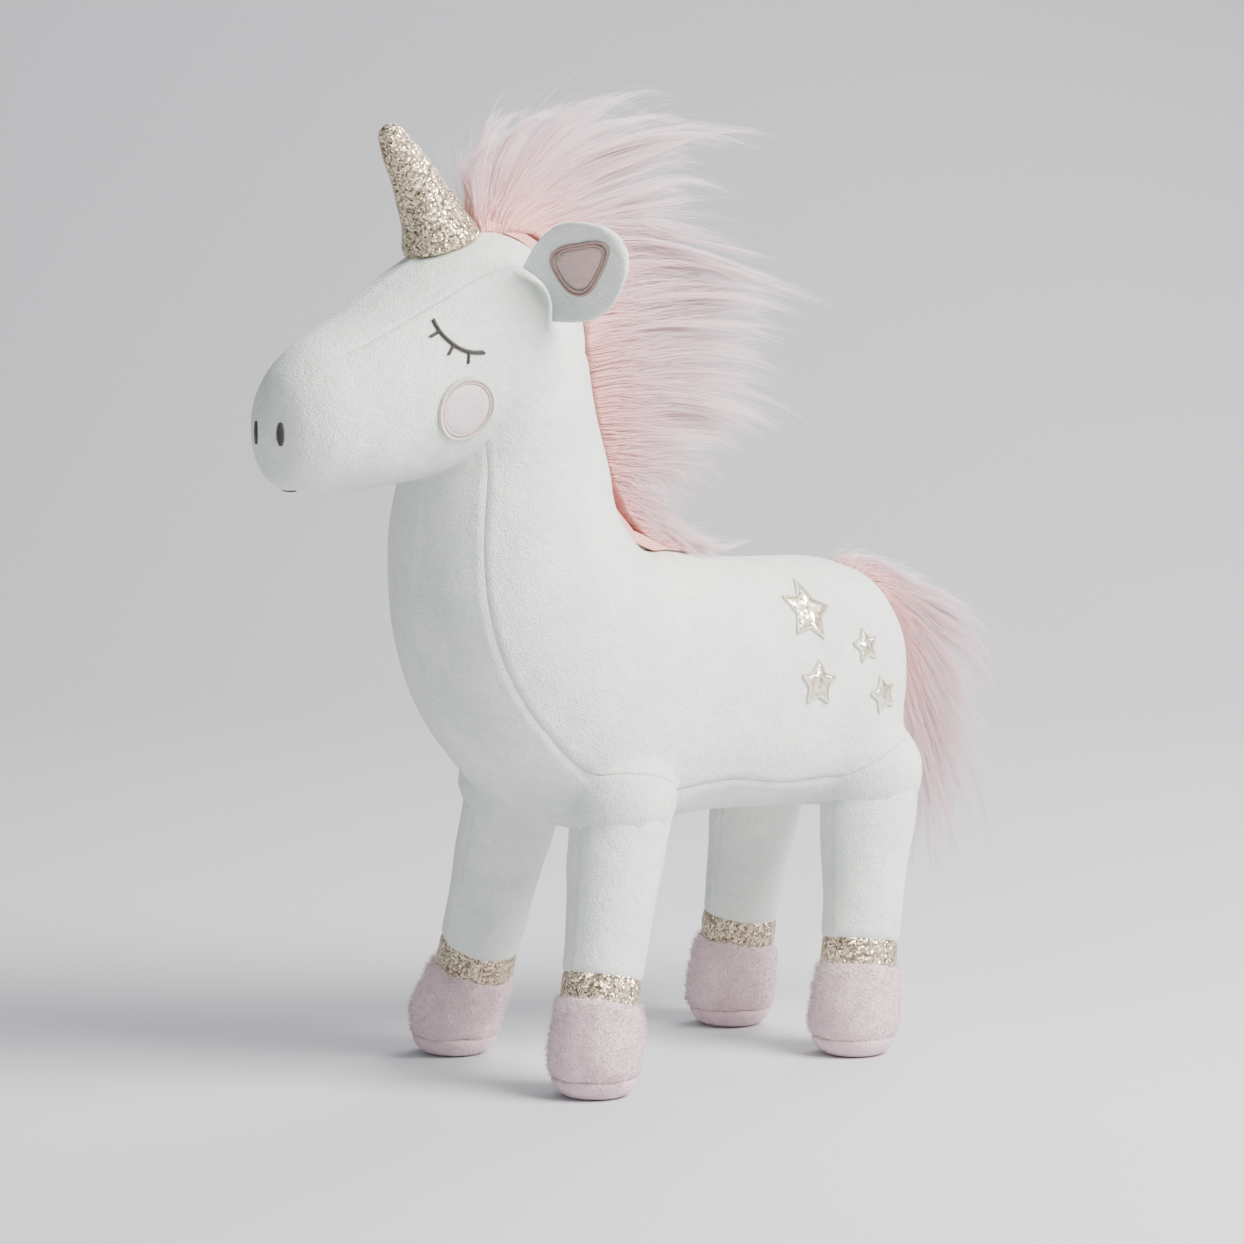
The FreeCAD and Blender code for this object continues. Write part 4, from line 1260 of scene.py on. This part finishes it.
nostril_parts = []
for sign in (1.0, -1.0):
    for k in np.linspace(-0.92, 0.92, 20):
        z = NOSTRIL_Z + NOSTRIL_HALF_HIGH * k
        half = NOSTRIL_HALF_WIDE * math.sqrt(1 - k * k)
        spots, ups = on_skin(head_shape, [(sign * NOSTRIL_X * MM, 0.0, z * MM)], (0.0, 1.0, 0.0))
        across = np.cross(ups, [[0.0, 0.0, 1.0]])
        across /= np.linalg.norm(across, axis=1)[:, None]
        nostril_parts.append(satin_threads("n", spots, across, ups, half * MM, 0.26 * MM, 0.7 * MM))
nostrils = joined("nostril_stitches", nostril_parts)
dress(nostrils, charcoal_thread)
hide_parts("nostrils")
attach(nostrils, "head")
smile = [(x * MM, (SMILE_Y + SMILE_BEND * x * x) * MM, 0.0) for x in np.linspace(-SMILE_HALF, SMILE_HALF, 12)]
mouth = stitched_line("mouth_stitches", head_shape, smile, (0.0, 0.0, 1.0), *MOUTH_STITCH)
dress(mouth, charcoal_thread)
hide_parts("mouth_stitch")
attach(mouth, "head")


# ---------------------------------------------------------------------------
# Stars: four pale gold foil-cloth stars sewn on each flank, their edges covered by
# a raised cream satin stitch.
# ---------------------------------------------------------------------------

# y, z, radius to the points, turn in degrees
STARS = ((42.3, 185.6, 11.5, 12.0), (70.2, 170.0, 6.6, -8.0), (42.4, 156.7, 9.0, 5.0),
         (79.2, 149.5, 7.2, -14.0))
STAR_INNER = 0.52
STAR_GROW = 0.5
STAR_STITCH = (0.62 * MM, 0.24 * MM, 1.0 * MM)
# foil: its pale and deeper gold are painted glints and painted shade on the crumpled foil
gold_foil = glitter_material("gold_foil", (0.97, 0.90, 0.76, 1), (0.70, 0.58, 0.42, 1), 700.0, 0.55, 0.85)


def star_line(y, z, radius, turn, grow=0.0):
    """The ten corners of a star on the flank, each edge split into short steps."""
    corners = []
    for k in range(10):
        a = math.radians(90 + turn + 36 * k)
        r = (radius if k % 2 == 0 else radius * STAR_INNER) + grow
        corners.append((0.0, (y - r * math.cos(a)) * MM, (z + r * math.sin(a)) * MM))
    line = []
    for a, b in zip(corners, corners[1:] + corners[:1]):
        for k in range(6):
            line.append(tuple(np.array(a) + (np.array(b) - np.array(a)) * k / 6))
    return line


for side, sign in (("left", 1.0), ("right", -1.0)):
    way = (-sign, 0.0, 0.0)
    foil = [skin_disc("foil", body_shape, star_line(*star), way, 0.7 * MM, rings=6) for star in STARS]
    stars = joined("stars_" + side + "_foil", foil)
    dress(stars, gold_foil)
    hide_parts("star_patches_" + side)
    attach(stars, "torso")
    edges = [stitched_line("edge", body_shape, star_line(*star, grow=STAR_GROW), way, *STAR_STITCH, True)
             for star in STARS]
    outline = joined("stars_" + side + "_outline", edges)
    dress(outline, cream_thread)
    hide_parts("star_outlines_" + side)
    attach(outline, "torso")


# ---------------------------------------------------------------------------
# Mane: long faux fur in a strip sewn into the seam from brow to withers. The pile
# is salmon and dense at its backing and thins to pale pink, wispy, windblown locks.
# ---------------------------------------------------------------------------

fur_colour, fur_in, fur_out = node_group(
    "long_fur",
    [("Along", "NodeSocketFloat", 0.0), ("Tone", "NodeSocketFloat", 0.5),
     ("Root", "NodeSocketColor", (1, 0.5, 0.4, 1)), ("Middle", "NodeSocketColor", (1, 0.8, 0.8, 1)),
     ("Tip", "NodeSocketColor", (1, 0.9, 0.9, 1))],
    [("Colour", "NodeSocketColor"), ("Roughness", "NodeSocketFloat")])
lower = mixed(fur_colour, remap(fur_colour, fur_in.outputs["Along"], 0.06, 0.42, 0.0, 1.0),
              fur_in.outputs["Root"], fur_in.outputs["Middle"])
upper = mixed(fur_colour, remap(fur_colour, fur_in.outputs["Along"], 0.38, 0.85, 0.0, 1.0),
              lower, fur_in.outputs["Tip"])
shade = remap(fur_colour, fur_in.outputs["Tone"], 0.0, 1.0, 0.34, 0.0)
fur_colour.links.new(mixed(fur_colour, shade, upper, fur_in.outputs["Root"]), fur_out.inputs["Colour"])
fur_colour.links.new(remap(fur_colour, fur_in.outputs["Tone"], 0.0, 1.0, 0.5, 0.38),
                     fur_out.inputs["Roughness"])


def fur_material(name, root, middle, tip):
    """Long hair, coloured by where a point lies along its hair and by the tone of its lock."""
    material, tree, shader, _ = blank_material(name)
    strand = tree.nodes.new("ShaderNodeAttribute")
    strand.attribute_name = "strand"
    parts = tree.nodes.new("ShaderNodeSeparateColor")
    tree.links.new(strand.outputs["Color"], parts.inputs["Color"])
    group = use_group(tree, fur_colour, {"Root": root, "Middle": middle, "Tip": tip})
    tree.links.new(parts.outputs["Red"], group.inputs["Along"])
    tree.links.new(parts.outputs["Green"], group.inputs["Tone"])
    tree.links.new(group.outputs["Colour"], shader.inputs["Base Color"])
    tree.links.new(group.outputs["Roughness"], shader.inputs["Roughness"])
    shader.inputs["Sheen Weight"].default_value = 0.5
    shader.inputs["Specular IOR Level"].default_value = 0.35
    return material


pink_fur = fur_material("pink_fur", (0.97, 0.47, 0.42, 1), (0.97, 0.67, 0.70, 1), (0.98, 0.84, 0.89, 1))


HAIR_STEPS = 10
# length of a lock as a share of its guide, how tightly it closes at its tip
LOCK_LONG, LOCK_TIGHT = (0.66, 1.0), (0.88, 0.98)
# hairs that stay out of their lock, and how far they and the others stray in millimetres
LOOSE_SHARE, LOOSE_STRAY, STRAY = 0.15, 6.0, 0.8
HAIR_SHORTEST = 0.28


def locks(count, guides, rng, spread_root, spread_tip, clumps, curl):
    """Centre lines of hairs: each leaves the strip the way its guides do and closes into a pointed lock."""
    steps = HAIR_STEPS
    along = np.linspace(0, 1, steps)
    s = along[:, None]
    shapes = np.array([spline([(0.0, y, z) for y, z in guide], count=steps)[:, :3] for guide, _ in guides])
    weight = np.array([w for _, w in guides], float)
    cumulative = np.r_[0, np.cumsum((weight[:-1] + weight[1:]) / 2)]
    cumulative /= cumulative[-1]

    def beside(where):
        """The way hair grows at a share of the strip's length, between its two guides."""
        seat = np.interp(where, cumulative, np.arange(len(shapes)))
        j = int(min(seat, len(shapes) - 2))
        return shapes[j] * (1 - seat + j) + shapes[j + 1] * (seat - j)

    leads = []
    for n in range(clumps):
        where = (n + rng.random()) / clumps
        lead = beside(where)
        lead[:, 0] += rng.normal() * spread_tip * along ** 1.3
        lead += s ** 1.4 * rng.normal(size=3) * curl * np.sin(2.4 * s)
        lead += s * rng.normal(size=3) * curl * 0.45 * np.sin(s * rng.uniform(3.0, 8.0) + rng.uniform(0, 6.3))
        lead[:, 2] -= along ** 3 * rng.uniform(-2.0, 8.0)
        leads.append((where, lead, rng.uniform(*LOCK_LONG), rng.uniform(*LOCK_TIGHT), rng.random()))
    lines = np.zeros((count, steps, 3))
    tone = np.zeros(count)
    for i in range(count):
        where, lead, long, tight, shade = leads[rng.integers(clumps)]
        tone[i] = np.clip(shade + rng.normal() * 0.2, 0, 1)
        stray = STRAY
        if rng.random() < LOOSE_SHARE:
            tight *= rng.uniform(0.1, 0.7)
            stray = LOOSE_STRAY
        line = beside(np.clip(where + rng.normal() * 0.03, 0, 1))
        line[:, 0] += rng.uniform(-1, 1) * spread_root * (1 - 0.4 * along)
        pull = (tight * along ** 0.75)[:, None]
        line = line * (1 - pull) + lead * pull
        cut = long * (HAIR_SHORTEST + (1 - HAIR_SHORTEST) * rng.random() ** 0.95)
        line = np.stack([np.interp(along * cut, along, line[:, k]) for k in range(3)], 1)
        line += s ** 1.5 * cut * rng.normal(size=3) * stray
        line += np.sin(s * 6.0 + rng.uniform(0, 6.3)) * s * rng.normal(size=3) * stray * 0.35
        lines[i] = line
    return lines * MM, tone


def hair_piece(name, lines, tone, thick, reach, rng):
    """Tapered three-sided hairs as one closed mesh, with where each point lies along its hair."""
    n, steps = lines.shape[:2]
    ahead = np.gradient(lines, axis=1)
    ahead /= np.maximum(np.linalg.norm(ahead, axis=2, keepdims=True), 1e-9)
    aside = np.cross(ahead, np.array([0.13, 0.35, 0.93]))
    aside /= np.maximum(np.linalg.norm(aside, axis=2, keepdims=True), 1e-9)
    other = np.cross(ahead, aside)
    taper = np.linspace(1.0, 0.0, steps) ** 0.6 * 0.88 + 0.12
    radius = (thick * rng.uniform(0.65, 1.2, n))[:, None] * taper[None]
    points = np.zeros((n, steps, 3, 3))
    for k in range(3):
        a = 2 * math.pi * k / 3
        points[:, :, k] = lines + (aside * math.cos(a) + other * math.sin(a)) * radius[:, :, None]
    first = (np.arange(n) * steps * 3)[:, None]
    quads = (np.array(wall_faces(steps, 3)).reshape(1, -1) + first).reshape(-1, 4)
    caps = np.array([[2, 1, 0], [(steps - 1) * 3, (steps - 1) * 3 + 1, (steps - 1) * 3 + 2]])
    caps = (caps.reshape(1, -1) + first).reshape(-1, 3)
    mesh = bpy.data.meshes.new(name)
    mesh.vertices.add(n * steps * 3)
    mesh.vertices.foreach_set("co", points.ravel())
    corners = np.concatenate([quads.ravel(), caps.ravel()])
    mesh.loops.add(len(corners))
    mesh.loops.foreach_set("vertex_index", corners.astype(np.int32))
    starts = np.concatenate([np.arange(len(quads)) * 4, len(quads) * 4 + np.arange(len(caps)) * 3])
    mesh.polygons.add(len(starts))
    mesh.polygons.foreach_set("loop_start", starts.astype(np.int32))
    mesh.update(calc_edges=True)
    mesh.validate()
    mesh.shade_smooth()
    place_on = np.zeros((n, steps, 3, 4))
    place_on[..., 0] = np.linspace(0, 1, steps)[None, :, None] * reach[:, None, None]
    place_on[..., 1] = tone[:, None, None]
    place_on[..., 3] = 1.0
    strand = mesh.color_attributes.new("strand", "FLOAT_COLOR", "POINT")
    strand.data.foreach_set("color", place_on.astype(np.float32).ravel())
    cells = int(math.ceil(math.sqrt(n)))
    owner = corners // (steps * 3)
    part = corners % (steps * 3)
    u = (owner % cells + 0.1 + 0.8 * (part // 3) / (steps - 1)) / cells
    v = (owner // cells + 0.15 + 0.35 * (part % 3)) / cells
    layer = mesh.uv_layers.new(name="OFBake")
    layer.data.foreach_set("uv", np.stack([u, v], 1).astype(np.float32).ravel())
    obj = bpy.data.objects.new(name, mesh)
    scene.collection.objects.link(obj)
    return obj


HAIR_THICK = 0.105 * MM
# the undercoat's length as a share of the long hair, extra thickness and share of the colour run it loses
UNDERCOAT, UNDERCOAT_THICKER, UNDERCOAT_PALE = 0.36, 0.7, 0.55
# each guide: y, z points from root to tip, and how much hair grows there
FORELOCK_GUIDES = [
    ([(-96, 336), (-101, 356), (-104, 372), (-101, 384)], 0.5),
    ([(-94, 337), (-95, 367), (-88, 383), (-70, 390)], 2.0),
    ([(-90, 338), (-80, 367), (-64, 385), (-49, 388), (-39, 380)], 2.0),
    ([(-86, 340), (-56, 367), (-25, 380), (2, 386), (42, 376)], 1.7),
    ([(-80, 340), (-39, 362), (-12, 370), (16, 376), (42, 372)], 1.7),
    ([(-72, 339), (-44, 352), (-18, 361), (2, 368), (28, 362)], 1.8),
    ([(-66, 336), (-40, 345), (-10, 352), (14, 356), (40, 345)], 1.6),
    ([(-62, 333), (-35, 341), (-10, 341), (9, 336), (52, 320)], 1.6),
]
NAPE_GUIDES = [
    ([(-60, 330), (-35, 341), (-5, 338), (22, 328), (66, 308)], 1.2),
    ([(-54, 322), (-30, 328), (-2, 330), (30, 322), (68, 308)], 1.5),
    ([(-49, 312), (-20, 318), (10, 319), (40, 316), (72, 306)], 2.0),
    ([(-46, 302), (-18, 309), (12, 312), (44, 311), (64, 306)], 2.2),
    ([(-45, 294), (-18, 300), (12, 303), (42, 303), (66, 299)], 1.6),
]
NECK_GUIDES = [
    ([(-45, 304), (-16, 309), (12, 312), (40, 311), (62, 308)], 1.6),
    ([(-45, 296), (-16, 301), (12, 304), (42, 303), (68, 298)], 2.2),
    ([(-43, 284), (-14, 288), (14, 291), (45, 289), (74, 280)], 2.2),
    ([(-41, 273), (-10, 277), (18, 275), (52, 268), (82, 252)], 2.2),
    ([(-38, 262), (-8, 262), (16, 262), (42, 256), (66, 238)], 2.2),
    ([(-35, 250), (-8, 248), (10, 248), (26, 243), (38, 229)], 2.0),
    ([(-31, 240), (-12, 236), (2, 230), (14, 222), (24, 214)], 1.6),
    ([(-24, 227), (-8, 222), (4, 217), (16, 211), (26, 207)], 1.4),
    ([(-14, 217), (-4, 216), (6, 214), (18, 212), (30, 208)], 1.8),
    ([(-5, 213), (4, 214), (14, 213), (24, 210), (34, 207)], 1.8),
    ([(5, 210.5), (12, 212), (20, 212), (29, 209), (37, 206.5)], 1.4),
]


def grow_hair(name, guides, count, seed, pieces, clumps, spread_root=5.0, spread_tip=14.0, curl=7.0):
    """Long locks over a dense short undercoat, which is thicker and keeps the colour of the roots."""
    rng = np.random.default_rng(seed)
    made = []
    for number in range(pieces):
        over, over_tone = locks(count // pieces, guides, rng, spread_root, spread_tip, clumps // pieces, curl)
        under, under_tone = locks(count // pieces // 2, guides, rng, spread_root + 2.0, 6.0, 40, 3.0)
        under = under[:, :1] + (under - under[:, :1]) * UNDERCOAT
        lines = np.concatenate([over, under])
        is_under = np.r_[np.zeros(len(over)), np.ones(len(under))]
        piece = hair_piece(name + "_" + str(number + 1), lines, np.concatenate([over_tone, under_tone]),
                           HAIR_THICK * (1 + UNDERCOAT_THICKER * is_under),
                           1 - UNDERCOAT_PALE * is_under, rng)
        dress(piece, pink_fur)
        made.append(piece)
    return made


for piece in grow_hair("forelock_hair", FORELOCK_GUIDES, 6600, 11, 3, clumps=54):
    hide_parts("forelock_fur")
    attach(piece, "head")
for piece in grow_hair("nape_hair", NAPE_GUIDES, 4200, 12, 2, clumps=36):
    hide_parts("mane_fur_head")
    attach(piece, "head")
for piece in grow_hair("neck_hair", NECK_GUIDES, 9200, 13, 4, clumps=76):
    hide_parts("mane_fur_neck")
    bend_at_neck(piece)


# ---------------------------------------------------------------------------
# Tail: the same long fur, caught in the rump seam in a tuft. One lock curls up at
# the root; the rest falls behind the rump and fans out in long thin wisps.
# ---------------------------------------------------------------------------

TAIL_GUIDES = [
    ([(95, 197), (97, 206), (106, 206), (112, 197)], 0.25),
    ([(102, 195), (112, 197), (126, 193), (150, 187), (168, 178)], 1.2),
    ([(108, 191), (124, 189), (145, 182), (168, 174), (186, 160), (194, 142)], 1.8),
    ([(112, 188), (130, 182), (152, 168), (172, 158), (182, 146), (178, 134)], 1.8),
    ([(114, 184), (132, 174), (156, 150), (179, 125), (198, 108), (200, 96)], 1.8),
    ([(115, 180), (132, 165), (150, 140), (168, 116), (179, 92), (184, 68)], 2.0),
    ([(115, 176), (128, 160), (140, 140), (152, 112), (158, 82), (158, 54)], 2.2),
    ([(115, 172), (124, 158), (133, 138), (142, 108), (148, 78), (149, 52)], 2.2),
    ([(114, 168), (120, 156), (127, 136), (136, 106), (141, 82), (141, 62)], 1.8),
]
for piece in grow_hair("tail_hair", TAIL_GUIDES, 8400, 14, 4, clumps=56,
                       spread_root=7.0, spread_tip=15.0, curl=6.0):
    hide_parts("tail_fur")
    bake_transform(piece)


# ---------------------------------------------------------------------------
# Backing tapes: woven cotton strips that hold the fur, sewn into the crest seam and
# into the rump seam, pink to match.
# ---------------------------------------------------------------------------

tape, tree, shader, place = blank_material("woven_tape")
weave = tree.nodes.new("ShaderNodeTexWave")
weave.wave_type = "BANDS"
weave.bands_direction = "Z"
weave.inputs["Scale"].default_value = 420.0
weave.inputs["Distortion"].default_value = 0.6
tree.links.new(place, weave.inputs["Vector"])
fleck = noise_node(tree, place, 900.0, 2.0)
# the tape's colour runs between a darker and a lighter pink with the weave bands and flecks: painted shade in
# the weave's grooves, the flecks a real random tone
tree.links.new(mixed(tree, arithmetic(tree, "MULTIPLY", weave.outputs["Fac"], fleck),
                     (0.84, 0.40, 0.36, 1), (0.95, 0.54, 0.50, 1)), shader.inputs["Base Color"])
tree.links.new(remap(tree, fleck, 0.3, 0.7, 0.8, 0.95), shader.inputs["Roughness"])
bump(tree, shader, weave.outputs["Fac"], 0.0002)
for node in ("mane_tape_head", "mane_tape_neck", "tail_tape"):
    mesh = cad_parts[node].data
    mesh.materials.clear()
    mesh.materials.append(tape)
